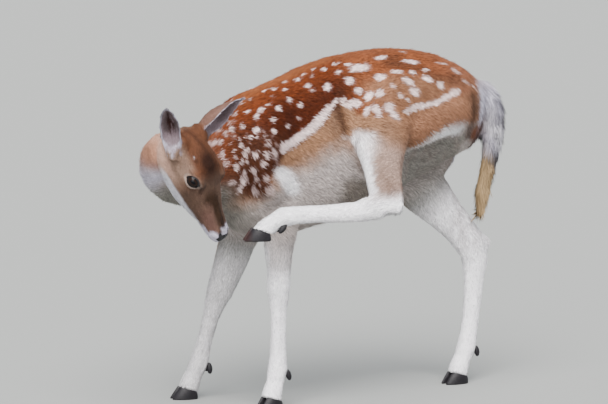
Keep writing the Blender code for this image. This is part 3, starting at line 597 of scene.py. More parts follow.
    # the haunch's white fringe and the patch round the tail
    rearward = ramp(x, 0.22, 0.28)
    edge = height("bellyNear", x) - 0.007 - 0.007 * rearward + 0.004 * noise(points * [1, 1, 0.3], 0.010, 14)
    fringe = near * np.exp(-(((z - edge) / (0.0095 + 0.0080 * rearward)) ** 4)) * (0.50 + 0.45 * ramp(x, 0.20, 0.27))
    lay("legWhite", fringe * plateau(x, 0.165, 0.19, 0.318, 0.338))
    lay("shankBrownAndShade", 0.6 * near * ramp(x, 0.33, 0.37) * plateau(z, 0.62, 0.64, 0.67, 0.70))
    lay("darkBrownAndCreaseShade", 0.75 * bell(x, 0.366, 0.008) * plateau(z, 0.605, 0.625, 0.66, 0.72))
    lay("white", ramp(x, 0.384, 0.394) * ramp(z, 0.712, 0.700))
    under = near * ramp(x, 0.364, 0.376) * ramp(z, 0.572, 0.588)
    lay("hipBrown", 0.75 * under * ramp(0.620 - z + 0.5 * (x - 0.38) + ragged, 0, 0.010))
    # painted shade in the crease between the buttock and the tail
    lay("darkBrownAndCreaseShade", 0.92 * near * ramp(0.015 - gaps["crease"] + ragged * 0.4, 0, 0.006))
    return layers.tone


def neckTone(points, normals):
    x, _, z = points.T
    layers = Paint(points, "neckTan")
    lay = layers.lay
    lay("chestnut", ramp(x, -0.345, -0.278) * 0.92)
    lay("bellyCream", ramp(0.548 - z - 0.05 * ramp(x, -0.36, -0.26), -0.006, 0.016))
    # painted shade along the underside of the neck
    lay("shade", 0.9 * ramp(z, 0.518, 0.498))
    lay("cheekLight", 0.5 * ramp(z, 0.590, 0.625) * ramp(x, -0.36, -0.42))
    lay("white", 0.95 * bell(z, 0.524, 0.023) * ramp(x, -0.405, -0.43))
    return layers.tone


def legTone(points, normals, name):
    x, _, z = points.T
    streak = 0.5 + 0.5 * noise(points * [1, 1, 0.25], 0.008, 21)
    layers = Paint(points, "legWhite")
    lay = layers.lay
    if name == "hind_left_shank":
        tan = ramp(normals[:, 0] + 0.15 * streak, -0.66, -0.30) * ramp(z, 0.465, 0.50)
        lay("flankTan", tan * 0.85)
        lay("shankBrownAndShade", tan * (0.34 + 0.20 * streak * ramp(z, 0.56, 0.52)))
        lay("shankBrownAndShade", 0.35 * bell(x, 0.090, 0.018) * bell(z, 0.472, 0.020) * streak)
        dark = bell(x, 0.048, 0.014) * plateau(z, 0.465, 0.485, 0.55, 0.58) * ramp(normals[:, 0], -0.5, -0.1)
        lay("shankBrownAndShade", dark * streak * 0.8)
    if name == "hind_right_shank":
        outer = ramp(normals[:, 1], 0.0, 0.45)
        lay("flankTan", outer * ramp(z, 0.30, 0.42))
        brown = streak * (0.22 + 0.28 * ramp(x, 0.33, 0.39)) * ramp(z, 0.28, 0.34)
        lay("shankBrownAndShade", (1 - outer) * brown)
        # painted shadow of the raised leg and the belly over the front and top of the far shank
        raisedLegShadow = ramp(z - 0.8 * (x - 0.30) + 0.012 * (streak - 0.5), 0.345, 0.450)
        lay("shade", (1 - 0.8 * outer) * np.maximum(ramp(z, 0.44, 0.48) * 0.85, 0.92 * raisedLegShadow))
    # painted shade on the upper forelegs, deeper on the far one under the chest
    if name.startswith("fore_right"):
        lay("shade", 0.50 + 0.42 * ramp(z, 0.29, 0.38))
    if name.startswith("fore_left"):
        lay("shade", 0.35 * ramp(z, 0.27, 0.33))
    if name.endswith("forearm"):
        sign, strength = (1, 0.75) if "right" in name else (-1, 0.35)
        lay("flankTan", ramp(normals[:, 1] * sign, 0.1, 0.5) * ramp(z, 0.27, 0.38) * strength)
    return layers.tone


def blot(place, centre, size, softness):
    # a small mark on each temple, long in height
    return ramp(1.2 - np.linalg.norm((place - centre) * [1, 1, 0.5] / size, axis=1), 0, softness)


def headTone(points, normals):
    place = inHead(points)
    f, left, u = place.T  # forward, to the left and up
    s = np.abs(left)
    place = np.stack([f, s, u], 1)
    ragged = noise(points, 0.006, 31) * 0.002
    layers = Paint(points, "crownBrown")
    lay = layers.lay
    lay("faceBrown", ramp(f, 0.105, 0.14))
    cheek = ramp(0.034 + 0.014 * ramp(s, 0.026, 0.042) - u + ragged, -0.004, 0.024)
    lay("cheekTan", cheek * ramp(0.138 - f - 0.3 * u, 0, 0.045))
    lay("cheekLight", ramp(-0.004 - u + ragged, 0, 0.02) * ramp(f, 0.118, 0.078))
    lay("faceBrown", 0.6 * bell(f, 0.072, 0.016) * bell(u, 0.022, 0.012) * ramp(s, 0.028, 0.036))
    band = 1.05 * bell(f, 0.099, 0.031) * bell(left, -0.008, 0.023) * ramp(u, 0.015, 0.035)
    lay("foreheadDark", np.minimum(band, 0.85))
    lay("foreheadDark", 0.5 * bell(f, 0.045, 0.045) * bell(s, 0, 0.006) * ramp(u, 0.02, 0.04))
    high = ramp(f, 0.195, 0.165)
    bridge = ramp(0.018 + 0.004 * high - np.abs(left + 0.002 + 0.010 * high) + ragged, 0, 0.012)
    lay("bridgeBrown", 0.95 * bridge * ramp(f, 0.14, 0.17) * ramp(u, -0.01, 0.01))
    lay("foreheadDark", 0.7 * ramp(f, 0.208, 0.222) * ramp(s, 0.0075, 0.0025) * ramp(u, 0, 0.004))
    lay("muzzlePink", 0.85 * ramp(f, 0.165, 0.205) * ramp(s, 0.010, 0.022) * ramp(u, -0.026, -0.008))
    jawTop = np.interp(f, [0.05, 0.10, 0.14, 0.20], [-0.040, -0.033, -0.029, -0.030])
    lay("jawWhite", ramp(jawTop - u + ragged, -0.004, 0.007) * ramp(f, 0.050, 0.085))

    # white lips and a white ring round the nose pad
    lip = ramp(f, 0.222, 0.232) * ramp(s + 0.9 * (f - 0.245), 0.010, 0.017) * ramp(u, 0.000, -0.008)
    chin = ramp(f, 0.205, 0.22) * ramp(u, -0.0175, -0.0225)
    ringLeft = 0.8 * ramp(f, 0.226, 0.233) * ramp(left, 0.005, 0.010) * ramp(u, 0.010, 0.004)
    ringTop = 0.85 * ramp(f + 0.4 * u, 0.233, 0.239) * ramp(0.0060 - u + ragged, 0, 0.005)
    ringTop = ringTop * ramp(u, -0.010, -0.006) * ramp(left, -0.013, -0.004)
    lay("white", 0.9 * np.max([lip, chin, ringLeft, ringTop], axis=0))
    throat = ramp(-u - 0.052 - 0.30 * np.maximum(f - 0.05, 0), 0, 0.010) * ramp(f, 0.13, 0.11)
    lay(neckTone(points, normals), throat)
    for side, (centre, _, _, above) in eyeFrames.items():
        close = distanceTo(points, centre) < lids["colourReach"]
        over = ramp((points - centre) @ above, -0.012, 0.008)
        lay("eyeRing", bell(lidShare(points, side), 1.33, 0.16) * close * (0.12 + 0.80 * over))
    lay("foreheadDark", 0.6 * blot(place, (0.083, 0.032, 0.046), 0.0036, 0.6))
    lay("jawWhite", 0.65 * blot(place, (0.074, 0.033, 0.048), 0.0028, 0.8))
    ductGap = lineDistance(place, face["duct"])
    lay("foreheadDark", 0.55 * ramp(ductGap, 0.0070, 0.0020))
    lay("noseBlack", 0.75 * ramp(ductGap, 0.0021, 0.0009))
    lay("noseBlack", 0.7 * ramp(lineDistance(place, face["mouth"]), 0.0022, 0.0010))
    return layers.tone


def inEar(points, side):
    # how far to the tip, the turn round the cup in degrees, the way out from its middle, and how far below its rim
    ear, slices = ears[side], 20
    offset = points - ear["rootPoint"]
    along = offset @ ear["tipWay"] / ear["length"]
    sideways, forward = offset @ ear["acrossWay"], offset @ ear["openWay"]
    top = np.full((2, slices + 1), -9.0)
    np.maximum.at(top, ((sideways > 0).astype(int), np.clip((along * slices).astype(int), 0, slices)), forward)
    places = (np.arange(slices + 1) + 0.5) / slices
    rims = [np.interp(along, places[row > -8], row[row > -8]) for row in top]
    gap = np.where(sideways > 0, rims[1], rims[0]) - forward
    depth = (rims[0] + rims[1]) / 2 - forward
    outWay = unit(sideways[:, None] * ear["acrossWay"] - depth[:, None] * ear["openWay"])
    return along, np.degrees(np.arctan2(sideways, np.maximum(depth, 0.002))), outWay, gap


def earTone(points, normals, side):
    along, turn, outWay, gap = inEar(points, side)
    inside = ramp(-(normals * outWay).sum(1), -0.1, 0.25)
    ragged = noise(points, 0.006, 42)
    crown = headTone(points, normals)
    place, reach, middle, spread, dark = ears[side]["core"]
    core = bell(along, place, reach) * bell(turn, middle, spread)
    if side == "right":
        core = np.maximum(core, 0.8 * bell(along, 0.41, 0.06) * bell(turn, -4, 15))
    hollow = Paint(points, "earInside")
    hollow.lay("earHair", ramp(0.50 - along + ragged * 0.1, 0, 0.15))
    hollow.lay("earHair", 0.8 * ramp(0.008 - gap + ragged * 0.003, 0, 0.005))
    hollow.lay("earCore", np.minimum(core * 1.6, dark))
    streak = noise(np.stack([along * 0.035, turn * 0.0004, turn * 0], 1), 0.0035, 41)
    hollow.lay("earHair", ramp(streak, 0.25, 0.7) * 0.5)
    tuft = ramp(0.22 - along + ragged * 0.06, 0, 0.12) * (ramp(-turn, -15, 40) * 0.8 + 0.2)
    hollow.lay("white", tuft * 0.75)
    hollow.lay(crown, ramp(along, 0.06, 0.01))
    rim = ramp(ears[side]["rim"] - gap, 0, 0.0018) * ramp(along, 0.10, 0.25)
    if side == "left":  # seen against the light, paler and softer
        hollow.lay("earHair", np.full(len(points), 0.45))
        rim = rim * (0.60 + 0.40 * ramp(along, 0.75, 0.90))
    layers = Paint(points, "earBack")
    layers.lay("bridgeBrown", 0.5 * ramp(along, 0.70, 1.0))
    layers.lay(crown, ramp(along, 0.30, 0.10))
    layers.lay(hollow.tone, inside)
    layers.lay("white", np.maximum(rim, ramp(along, 0.96, 1.0)) * (0.95 - 0.25 * (ragged > 0.4)))
    return layers.tone


def tailTone(points, normals):
    x, _, z = points.T
    low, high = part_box("tail")
    behind = x - np.interp(z, [low.z, low.z + 0.12, high.z - 0.06, high.z], [0.447, 0.452, 0.466, 0.420])
    streak = ramp(noise(points * [1, 1, 0.2], 0.006, 52), -0.5, 0.3)
    layers = Paint(points, "white")
    layers.lay("legWhite", (1 - streak) * 0.6)
    layers.lay("tailTan", ramp(0.560 - z - 1.2 * behind + noise(points, 0.02, 51) * 0.012, 0, 0.035))
    strip = ramp(behind, -0.006, 0.008) * ramp(z, 0.505, 0.530) * ramp(high.z - z, 0.015, 0.05)
    strip = np.maximum(strip, 0.9 * ramp(behind, -0.012, 0.002) * plateau(z, 0.510, 0.530, 0.570, 0.590))
    hairs = ramp(noise(points * [1, 1, 0.15], 0.0045, 53), -0.05, 0.35) * ramp(behind, -0.030, -0.005)
    hairs = hairs * ramp(z, 0.55, 0.60) * ramp(high.z - z, 0, 0.03)
    layers.lay("rumpBlack", np.maximum(strip * (0.15 + 0.8 * streak), 0.85 * hairs))
    return layers.tone


def partTone(name, points, normals):
    whole = {"trunk": bodyTone, "neck_base": neckTone, "neck_bend": neckTone, "head": headTone, "tail": tailTone}
    if name in whole:
        return whole[name](points, normals)
    if name.startswith("ear"):
        return earTone(points, normals, name[4:])
    return legTone(points, normals, name)


base = np.zeros((len(points), 3))
for name in fleshNodes:
    chosen = region == regionOf[name]
    base[chosen] = partTone(name, points[chosen], normals[chosen])
blend = {"reach": 10, "rounds": 16, "share": 0.8}
border = np.zeros(len(points), bool)  # soften only where one part's colours meet another's
meets = (region[web.a] != region[web.b]) & ~isEar[web.a] & ~isEar[web.b]
border[web.a[meets]] = True
border[web.b[meets]] = True
borderShare = np.clip(web.softenedShare(border, blend["reach"]) * 4, 0, 1)
base = web.softened(base, blend["rounds"], (blend["share"] * borderShare)[:, None])
print("base colours laid out")

spots = {  # all in millimetres
    "trunk": [  # x, z, half width, and how white in tenths
        (80, 767, 5, 7), (65, 763, 5.5, 8), (50, 752, 5.8, 9), (40, 736, 6.6, 9), (40, 757, 5, 5),
        (15, 741, 6.6, 10), (0, 748, 5.2, 8), (-6, 740, 5.2, 8), (-19, 728, 4.5, 4), (0, 706, 8.5, 10),
        (-32, 731, 4.8, 8), (-51, 722, 6.8, 9), (-41, 710, 6.2, 9), (-35, 701, 4.8, 5), (-81, 716, 4.8, 8),
        (-91, 720, 5.5, 4), (-96, 703, 5.6, 9), (-118, 703, 5.6, 8), (-140, 700, 5.8, 9),
        (-135, 689, 3.8, 5), (-99, 683, 6.2, 9), (-77, 672, 6, 9), (-139, 669, 6.2, 10), (-155, 676, 5, 8),
        (-176, 665, 7, 9), (-188, 652, 6.8, 9), (-202, 662, 5, 9), (-203, 677, 4.2, 6), (-182, 685, 4.2, 6),
        (-161, 645, 6, 9), (-164, 623, 5.8, 9), (-122, 632, 6.2, 8), (-87, 643, 4.5, 5), (-198, 625, 8, 10),
        (-186, 613, 4.5, 4), (-210, 610, 6.2, 8), (-220, 633, 5, 9), (-226, 654, 4.2, 5),
        (-241, 624, 6.2, 8), (-230, 592, 7, 8), (-256, 617, 4.5, 4), (-269, 601, 4.5, 6),
        (-225, 573, 7.2, 6), (-209, 573, 8, 7.5), (-186, 571, 9, 8.5), (-169, 577, 8, 7.5),
        (-196, 553, 8, 9), (-212, 538, 7.5, 8), (-244, 543, 7.8, 9), (-226, 512, 8.8, 9.5),
        (-234, 495, 7.5, 9), (-247, 511, 5, 7), (-227, 535, 5, 8), (-188, 521, 8.5, 6), (-204, 492, 10, 6),
        (-232, 558, 4.8, 7), (-222, 557, 4.5, 7), (-275, 576, 5.8, 9), (-281, 599, 6.2, 7),
        (-178, 493, 12, 5),
    ],
    "hip": [  # x, z, half length, half width, and tilt in degrees
        (92, 744, 25, 11, 4), (73, 751, 8, 6, 20), (57, 719, 11, 9.5, 30), (69, 697, 10, 9.2, 30),
        (158, 762, 15, 6.5, 5), (131, 724, 13, 12.5, 20), (89, 686, 13, 10.5, 80),
        (104, 691, 11.5, 9.5, 60), (42, 669, 12, 9, 0), (57, 671, 13, 10.5, -20), (68, 656, 13, 9.5, -60),
        (82, 657, 15, 8, -65), (112, 663, 12.5, 11, 60), (120, 647, 12.5, 9, -60), (174, 733, 14, 8.8, -22),
        (215, 731, 9.5, 6.2, -15), (186, 715, 14.5, 12.5, -10), (190, 694, 14, 12, 20),
        (224, 753, 18.5, 6.2, -18), (251, 735, 9, 4.6, -10), (248, 716, 12, 9.5, -30),
        (277, 702, 10, 8.8, 0), (28, 676, 11, 6.5, 70), (165, 677, 5.5, 4.8, 0),
    ],
    "hipFaint": [
        (138, 708, 7.5, 4.5, -70), (147, 687, 7, 6, 0), (226, 771, 10, 4.2, 0), (115, 771, 8.5, 4.2, 0),
        (264, 774, 13, 5, -5), (303, 746, 19, 3.2, -5), (331, 728, 11.5, 8, -20), (352, 704, 15, 3.2, -25),
        (376, 692, 13, 3.2, -28),
    ],
    "flankLine": [  # x, z, half width
        (13, 681, 3.5), (-10, 662, 6.5), (-32, 643, 9), (-56, 624, 10), (-86, 607, 9.8), (-120, 591, 10.5),
        (-143, 585, 11),
    ],
    "thighLine": [
        (154, 652, 5.5), (168, 658, 6.8), (190, 662, 6.4), (229, 664, 5.8), (262, 668, 5.8),
        (291, 677, 6.4), (311, 685, 7.8), (322, 687, 5.8),
    ],
}
spotLook = {"smaller": 0.85, "onShoulder": 0.78, "shoulderTop": 0.60, "fainter": 0.85, "faint": 0.55}
skinTree = BVHTree.FromPolygons([tuple(p) for p in points], [tuple(p.vertices) for p in skinMesh.polygons])


def flankPoint(x, z, side):
    # the point of the skin seen from that side at x and z, if there is one
    return skinTree.ray_cast(Vector((x, side, z)), Vector((0, -side, 0)))[0]


chance = np.random.default_rng(7)
spotList, lineList = [], []


def addSpot(side, x, z, halfLength, halfWidth, tilt, white=1.0):
    seen = flankPoint(x, z, side)
    if seen is None:
        return
    place, normal, _, _ = skinTree.find_nearest(seen)
    normal = np.array(normal)
    turn = math.radians(tilt)
    along = np.array([math.cos(turn), 0, math.sin(turn)])
    along = unit(along - (along @ normal) * normal)
    spotList.append((np.array(place), along, halfLength, halfWidth, white))


for side in (-1, 1):
    for row in spots["trunk"]:
        x, z, half = np.array(row[:3]) / 1000
        onShoulder = z < spotLook["shoulderTop"]
        half *= spotLook["onShoulder" if onShoulder else "smaller"]
        tilt = 70 + chance.uniform(-18, 18) + 40 * onShoulder
        white = row[3] / 10 * (spotLook["fainter"] if onShoulder else 1)
        addSpot(side, x, z, half * chance.uniform(1.15, 1.5), half, tilt, white)
    for key, white in (("hip", 1.0), ("hipFaint", spotLook["faint"])):
        for row in spots[key]:
            addSpot(side, *(np.array(row[:4]) / 1000), row[4], white)
    for key in ("flankLine", "thighLine"):
        rows = np.array(spots[key]) / 1000
        ordered = rows[np.argsort(rows[:, 0])]
        lineList.append(([flankPoint(x, z, side) for x, z, _ in rows], ordered[:, 0], ordered[:, 2]))


def spotShare(points):
    # how white the spots, the lines and the fine speckle over the shoulder make each point
    x, _, z = points.T
    share = np.zeros(len(points))
    rough = noise(points, 0.005, 61)
    for centre, along, halfLength, halfWidth, white in spotList:
        offset = points - centre
        close = np.abs(offset).max(1) < halfLength * 1.6
        part = offset[close]
        a = part @ along
        b = np.sqrt(np.maximum((part * part).sum(1) - a * a, 0))
        metric = np.hypot(a / halfLength, b / halfWidth) + rough[close] * 0.25
        share[close] = np.maximum(share[close], white * ramp(1.25 - metric, 0, 0.55))
    for corners, places, halves in lineList:
        half = np.interp(x, places, halves) * (1 + 0.18 * rough)
        share = np.maximum(share, ramp(1.2 - lineDistance(points, corners) / half, 0, 0.45))
    speckled = plateau(x, -0.330, -0.280, -0.185, -0.150) * ramp(z, 0.478, 0.500)
    speckled = speckled * ramp(0.640 - z - 0.4 * (x + 0.2), 0, 0.03)
    speckle = noise(points * [1, 1, 0.6], 0.0085, 62) + 0.5 * noise(points, 0.005, 63)
    return np.maximum(share, 0.62 * speckled * ramp(speckle, 0.18, 0.75))


bodyRegions = [regionOf[name] for name in ("trunk", "neck_base")]
spotOn = np.isin(region, bodyRegions)
skinSpots = np.zeros(len(points))
skinSpots[spotOn] = spotShare(points[spotOn])
skinTone = mixed(base, tones["spotWhite"], skinSpots)
print("spots placed", len(spotList))


def putColour(mesh, name, values):
    layer = mesh.color_attributes.new(name, "FLOAT_COLOR", "POINT")
    flat = np.ones((len(values), 4), np.float32)
    flat[:, :3] = np.clip(values, 0, 1)
    layer.data.foreach_set("color", flat.ravel())


def putVector(mesh, name, values):
    layer = mesh.attributes.new(name, "FLOAT_VECTOR", "POINT")
    layer.data.foreach_set("vector", values.astype(np.float32).ravel())


skin = addObject("skin", skinMesh)
skinMesh.shade_smooth()
pad = {"front": 0.2410, "half": 0.0180, "under": -0.0165, "over": -0.0030}  # the bare nose
f, s, u = bothSides(points).T
darkSkin = ramp(f - 0.22 * s, pad["front"] - 0.0015, pad["front"]) * ramp(pad["half"] - s, -0.0005, 0.001) * isHead
darkSkin *= ramp(u, pad["under"] - 0.001, pad["under"] + 0.001) * ramp(u, pad["over"] + 0.001, pad["over"] - 0.001)
for side in eyeFrames:
    close = distanceTo(points, eyeFrames[side][0]) < lids["colourReach"]
    darkSkin = np.maximum(darkSkin, ramp(lidShare(points, side), 1.17, 1.12) * close)
putColour(skinMesh, "coatColourAndShade", mixed(skinTone, tones["noseBlack"], darkSkin))
putVector(skinMesh, "coatLie", lie)

for other in bpy.context.selected_objects:
    other.select_set(False)
bpy.context.view_layer.objects.active = skin
skin.select_set(True)
skinMesh.uv_layers.new(name="OFBake")
bpy.ops.object.mode_set(mode="EDIT")
bpy.ops.mesh.select_all(action="SELECT")
bpy.ops.uv.smart_project(angle_limit=math.radians(62), island_margin=0.002)
bpy.ops.object.mode_set(mode="OBJECT")
print("skin unwrapped")


def feed(tree, node, values):
    # a value goes into the input of that name or number, or is a setting; an output of another node is linked
    for key, value in values.items():
        if not isinstance(key, int) and key not in node.inputs:
            setattr(node, key, value)
        elif isinstance(value, bpy.types.NodeSocket):
            tree.links.new(value, node.inputs[key])
        else:
            node.inputs[key].default_value = value


def addNode(tree, kind, *ordered, **values):
    made = tree.nodes.new("ShaderNode" + kind)
    feed(tree, made, values)
    feed(tree, made, dict(enumerate(ordered)))
    return made


def colourStops(tree, amount, *stops):
    made = addNode(tree, "ValToRGB", Fac=amount)
    row = made.color_ramp.elements
    for number, (place, colour) in enumerate(stops):
        stop = row[number] if number < 2 else row.new(place)
        stop.position, stop.color = place, (*colour, 1)
    return made.outputs["Color"]


def addBump(tree, height, strength, distance):
    return addNode(tree, "Bump", Strength=strength, Distance=distance, Height=height).outputs["Normal"]


def newMaterial(name):
    made = bpy.data.materials.new(name)
    made.use_nodes = True
    return made, made.node_tree, made.node_tree.nodes["Principled BSDF"]


def coatGroup():
    # the coat's colour and painted shade, with hairs lighter and darker, and the height of short flat hair
    group = bpy.data.node_groups.new("coatHairs", "ShaderNodeTree")
    for name, value in (("Hair Size", 900.0), ("Stretch", 0.88), ("Contrast", 0.2)):
        group.interface.new_socket(name, in_out="INPUT", socket_type="NodeSocketFloat").default_value = value
    group.interface.new_socket("Colour", in_out="OUTPUT", socket_type="NodeSocketColor")
    group.interface.new_socket("Height", in_out="OUTPUT", socket_type="NodeSocketFloat")
    entry, leave = group.nodes.new("NodeGroupInput").outputs, group.nodes.new("NodeGroupOutput")
    colour = addNode(group, "Attribute", attribute_name="coatColourAndShade").outputs["Color"]
    way = addNode(group, "Attribute", attribute_name="coatLie").outputs["Vector"]
    place = addNode(group, "TexCoord").outputs["Object"]
    dot = addNode(group, "VectorMath", place, way, operation="DOT_PRODUCT")
    pull = addNode(group, "Math", dot.outputs["Value"], entry["Stretch"], operation="MULTIPLY")
    back = addNode(group, "VectorMath", way, operation="SCALE", Scale=pull.outputs["Value"])
    across = addNode(group, "VectorMath", place, back.outputs["Vector"], operation="SUBTRACT")
    fineHair = addNode(
        group, "TexNoise", Detail=3.0, Roughness=0.6, Vector=across.outputs["Vector"], Scale=entry["Hair Size"]
    ).outputs["Fac"]
    low = addNode(group, "Math", 1.0, entry["Contrast"], operation="SUBTRACT").outputs["Value"]
    high = addNode(group, "Math", 1.0, entry["Contrast"], operation="ADD").outputs["Value"]
    shade = addNode(group, "MapRange", Value=fineHair)
    feed(group, shade, {"From Min": 0.3, "From Max": 0.7, "To Min": low, "To Max": high})
    tint = addNode(group, "VectorMath", colour, operation="SCALE", Scale=shade.outputs["Result"])
    feed(group, leave, {"Colour": tint.outputs["Vector"], "Height": fineHair})
    return group


coatHairs = coatGroup()


def coatMaterial(name, size, contrast, bump, roughness):
    made, tree, shader = newMaterial(name)
    group = addNode(tree, "Group", node_tree=coatHairs)
    feed(tree, group, {"Hair Size": size, "Contrast": contrast})
    feed(tree, shader, {"Base Color": group.outputs["Colour"], "Roughness": roughness, "Specular IOR Level": 0.14})
    feed(tree, shader, {"Sheen Weight": 0.02, "Sheen Roughness": 0.5})
    if bump:
        feed(tree, shader, {"Normal": addBump(tree, group.outputs["Height"], 0.6, bump)})
    return made


skinFur = coatMaterial("skinFur", 700.0, 0.22, 0.0008, 0.85)
tuftFur = coatMaterial("tuftFur", 500.0, 0.16, 0, 0.75)
leather = {"cells": 900.0, "dark": (0.006, 0.006, 0.007), "light": (0.014, 0.013, 0.015)}


def leatherMaterial():
    made, tree, shader = newMaterial("noseLeather")
    place = addNode(tree, "TexCoord").outputs["Object"]
    cells = addNode(tree, "TexVoronoi", Scale=leather["cells"], Vector=place).outputs["Distance"]
    tint = colourStops(tree, cells, (0, leather["dark"]), (1, leather["light"]))
    feed(tree, shader, {"Base Color": tint, "Normal": addBump(tree, cells, 0.5, 0.0005)})
    feed(tree, shader, {"Roughness": 0.5, "Specular IOR Level": 0.25})
    return made


skinMesh.materials.clear()
skinMesh.materials.append(skinFur)
skinMesh.materials.append(leatherMaterial())
faceDark = [int(np.mean(darkSkin[list(p.vertices)]) > 0.5) for p in skinMesh.polygons]
skinMesh.polygons.foreach_set("material_index", faceDark)
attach(skin, "root")
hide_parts(*fleshNodes)

# longer, looser hair in a few places: how much longer, and how loose
x, y, z = points.T
out, down = besideSpine(points)
haunchEdge = np.abs(z - height("bellyNear", x)) < 0.012
patches = [
    (onTrunk & (y < -0.02) & (x > 0.15) & (x < 0.35) & haunchEdge, 0.9, 1.0),
    (onTrunk & (np.abs(out) < 0.03) & (x < 0.1), 0.25, 0),
    (onTrunk & (z < 0.46), 0.4, 0.3),
    (onTrunk & (x > 0.375), 0.5, 0.6),
]
hair[:, 1] *= web.softenedShare(1 + sum(patch * longer for patch, longer, _ in patches), 5)
loose = web.softenedShare(sum(patch * looser for patch, _, looser in patches), 5)[:, None]
hair[:, 1] *= 1 - 0.45 * isHead * ramp(lids["reach"] - eyeDistance(points), 0, 0.012)
hair[:, 1] *= 1 - 0.35 * isHead * ramp(inHead(points)[:, 0], 0.19, 0.23)

skinMesh.calc_loop_triangles()
triangles = listOf(skinMesh.loop_triangles, "vertices", 3, np.int64)
triLoops = listOf(skinMesh.loop_triangles, "loops", 3, np.int64)
skinMap = listOf(skinMesh.uv_layers["OFBake"].data, "uv", 2, np.float32)
corners = points[triangles]
areas = 0.5 * np.linalg.norm(np.cross(corners[:, 1] - corners[:, 0], corners[:, 2] - corners[:, 0]), axis=1)
bare = darkSkin[triangles].max(1) > 0.3
triRegion = region[triangles[:, 0]]

tuft = {  # five points: root, left, right, ridge and tip
    "faces": np.array([[0, 1, 3], [0, 3, 2], [0, 2, 1], [4, 3, 1], [4, 2, 3], [4, 1, 2]]),
    # painted shade at each tuft's root and painted light towards its tip
    "rootShadeTipLight": np.array([0.52, 0.90, 0.90, 1.02, 1.22]),
    "lean": np.array([[0, 0], [-0.6, 0], [0.6, 0], [0, 0], [0, 0.35]]),  # of the normals, sideways and forward
    "patch": np.array([[0, -1], [-1, 0], [1, 0], [0, 0.1], [0, 1]]) * 0.0015,
    "size": (0.70, 1.25),  # from and to, times what the place asks for
    "lift": (0.50, 0.95),
    "light": (0.68, 1.26),
    "rooted": 0.0006,
    "stray": 0.08,
    "jitter": 0.0016,
}


def growCoat(name, chosen):
    # chosen: which triangles of the skin these tufts grow on
    chosen = np.flatnonzero(chosen & ~bare)
    wanted = areas[chosen] * hair[triangles[chosen], 3].mean(1)
    tri = np.repeat(chosen, np.floor(wanted + chance.random(len(chosen))).astype(int))
    total = len(tri)
    a, b = chance.random(total), chance.random(total)
    over = a + b > 1
    a[over], b[over] = 1 - a[over], 1 - b[over]
    weights = np.stack([1 - a - b, a, b], 1)[:, :, None]
    corners = triangles[tri]
    root, normal, way, tone, size, looser = [
        (values[corners] * weights).sum(1) for values in (points, normals, lie, base, hair, loose)
    ]
    normal, looser = unit(normal), looser[:, 0]
    middleMap = (skinMap[triLoops[tri]] * weights).sum(1)
    length = size[:, 1] * chance.uniform(*tuft["size"], total)
    width = size[:, 2] * chance.uniform(*tuft["size"], total)
    lock = noise(root, 0.011, 73) * 0.30
    way = way + np.cross(normal, way) * (lock + chance.normal(0, 0.13 + 0.16 * looser, total))[:, None]
    way = unit(way - (way * normal).sum(1)[:, None] * normal)
    across = np.cross(normal, way)
    stray = chance.random(total) < tuft["stray"]
    width = np.where(stray, width * 0.6, width)
    heave = 1 + 0.35 * noise(root, 0.012, 74)
    lift = size[:, 0] * chance.uniform(*tuft["lift"], total) * (1 + 0.5 * looser) * heave * np.where(stray, 1.9, 1)
    spotted = np.isin(triRegion[tri], bodyRegions)
    whiten = np.zeros(total)
    seenAt = root[spotted] + way[spotted] * (length[spotted] * 0.45)[:, None]
    whiten[spotted] = spotShare(seenAt + chance.normal(0, tuft["jitter"], (spotted.sum(), 3)))
    tone = mixed(tone, tones["spotWhite"], whiten * chance.uniform(0.78, 1.0, total))
    clump = 1 + 0.24 * noise(root - (root * way).sum(1)[:, None] * way * 0.8, 0.0045, 71)
    clump = clump + 0.09 * noise(root, 0.012, 75) + 0.07 * noise(root, 0.040, 72)
    tone = tone * (clump * chance.uniform(*tuft["light"], total))[:, None]
    middle = root + way * (length * 0.42)[:, None] + normal * (lift * 0.55)[:, None]
    half = across * (width / 2)[:, None]
    tip = root + way * length[:, None] + normal * (lift * 0.85)[:, None]
    ridge = middle + normal * (width * 0.32)[:, None]
    parts = np.stack([root - normal * tuft["rooted"], middle - half, middle + half, ridge, tip], 1)
    tints = tone[:, None, :] * tuft["rootShadeTipLight"][None, :, None]
    lean = tuft["lean"]
    soft = normal[:, None, :] + across[:, None, :] * lean[None, :, :1] + way[:, None, :] * lean[None, :, 1:]
    soft = soft + across[:, None, :] * chance.normal(0, 0.22, total)[:, None, None]
    faces = (tuft["faces"][None] + 5 * np.arange(total)[:, None, None]).reshape(-1, 3)
    mesh = bpy.data.meshes.new(name)
    mesh.vertices.add(total * 5)
    mesh.vertices.foreach_set("co", parts.astype(np.float32).ravel())
    mesh.loops.add(len(faces) * 3)
    mesh.loops.foreach_set("vertex_index", faces.astype(np.int32).ravel())
    mesh.polygons.add(len(faces))
    mesh.polygons.foreach_set("loop_start", np.arange(0, len(faces) * 3, 3, dtype=np.int32))
    mesh.update(calc_edges=True)
    mesh.shade_smooth()
    putColour(mesh, "coatColourAndShade", tints.reshape(-1, 3))
    putVector(mesh, "coatLie", np.repeat(way, 5, axis=0))
    maps = np.clip(middleMap[:, None, :] + tuft["patch"][None], 0.002, 0.998).reshape(-1, 2)
    layer = mesh.uv_layers.new(name="OFBake")
    layer.data.foreach_set("uv", maps[faces.ravel()].astype(np.float32).ravel())
    mesh.normals_split_custom_set_from_vertices(unit(soft).reshape(-1, 3).astype(np.float32))
    mesh.materials.append(tuftFur)
    made = addObject(name, mesh)
    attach(made, "root")
    print(name, total, "tufts")
    return len(faces)


def inRegions(*names):
    return np.isin(triRegion, [regionOf[name] for name in names])


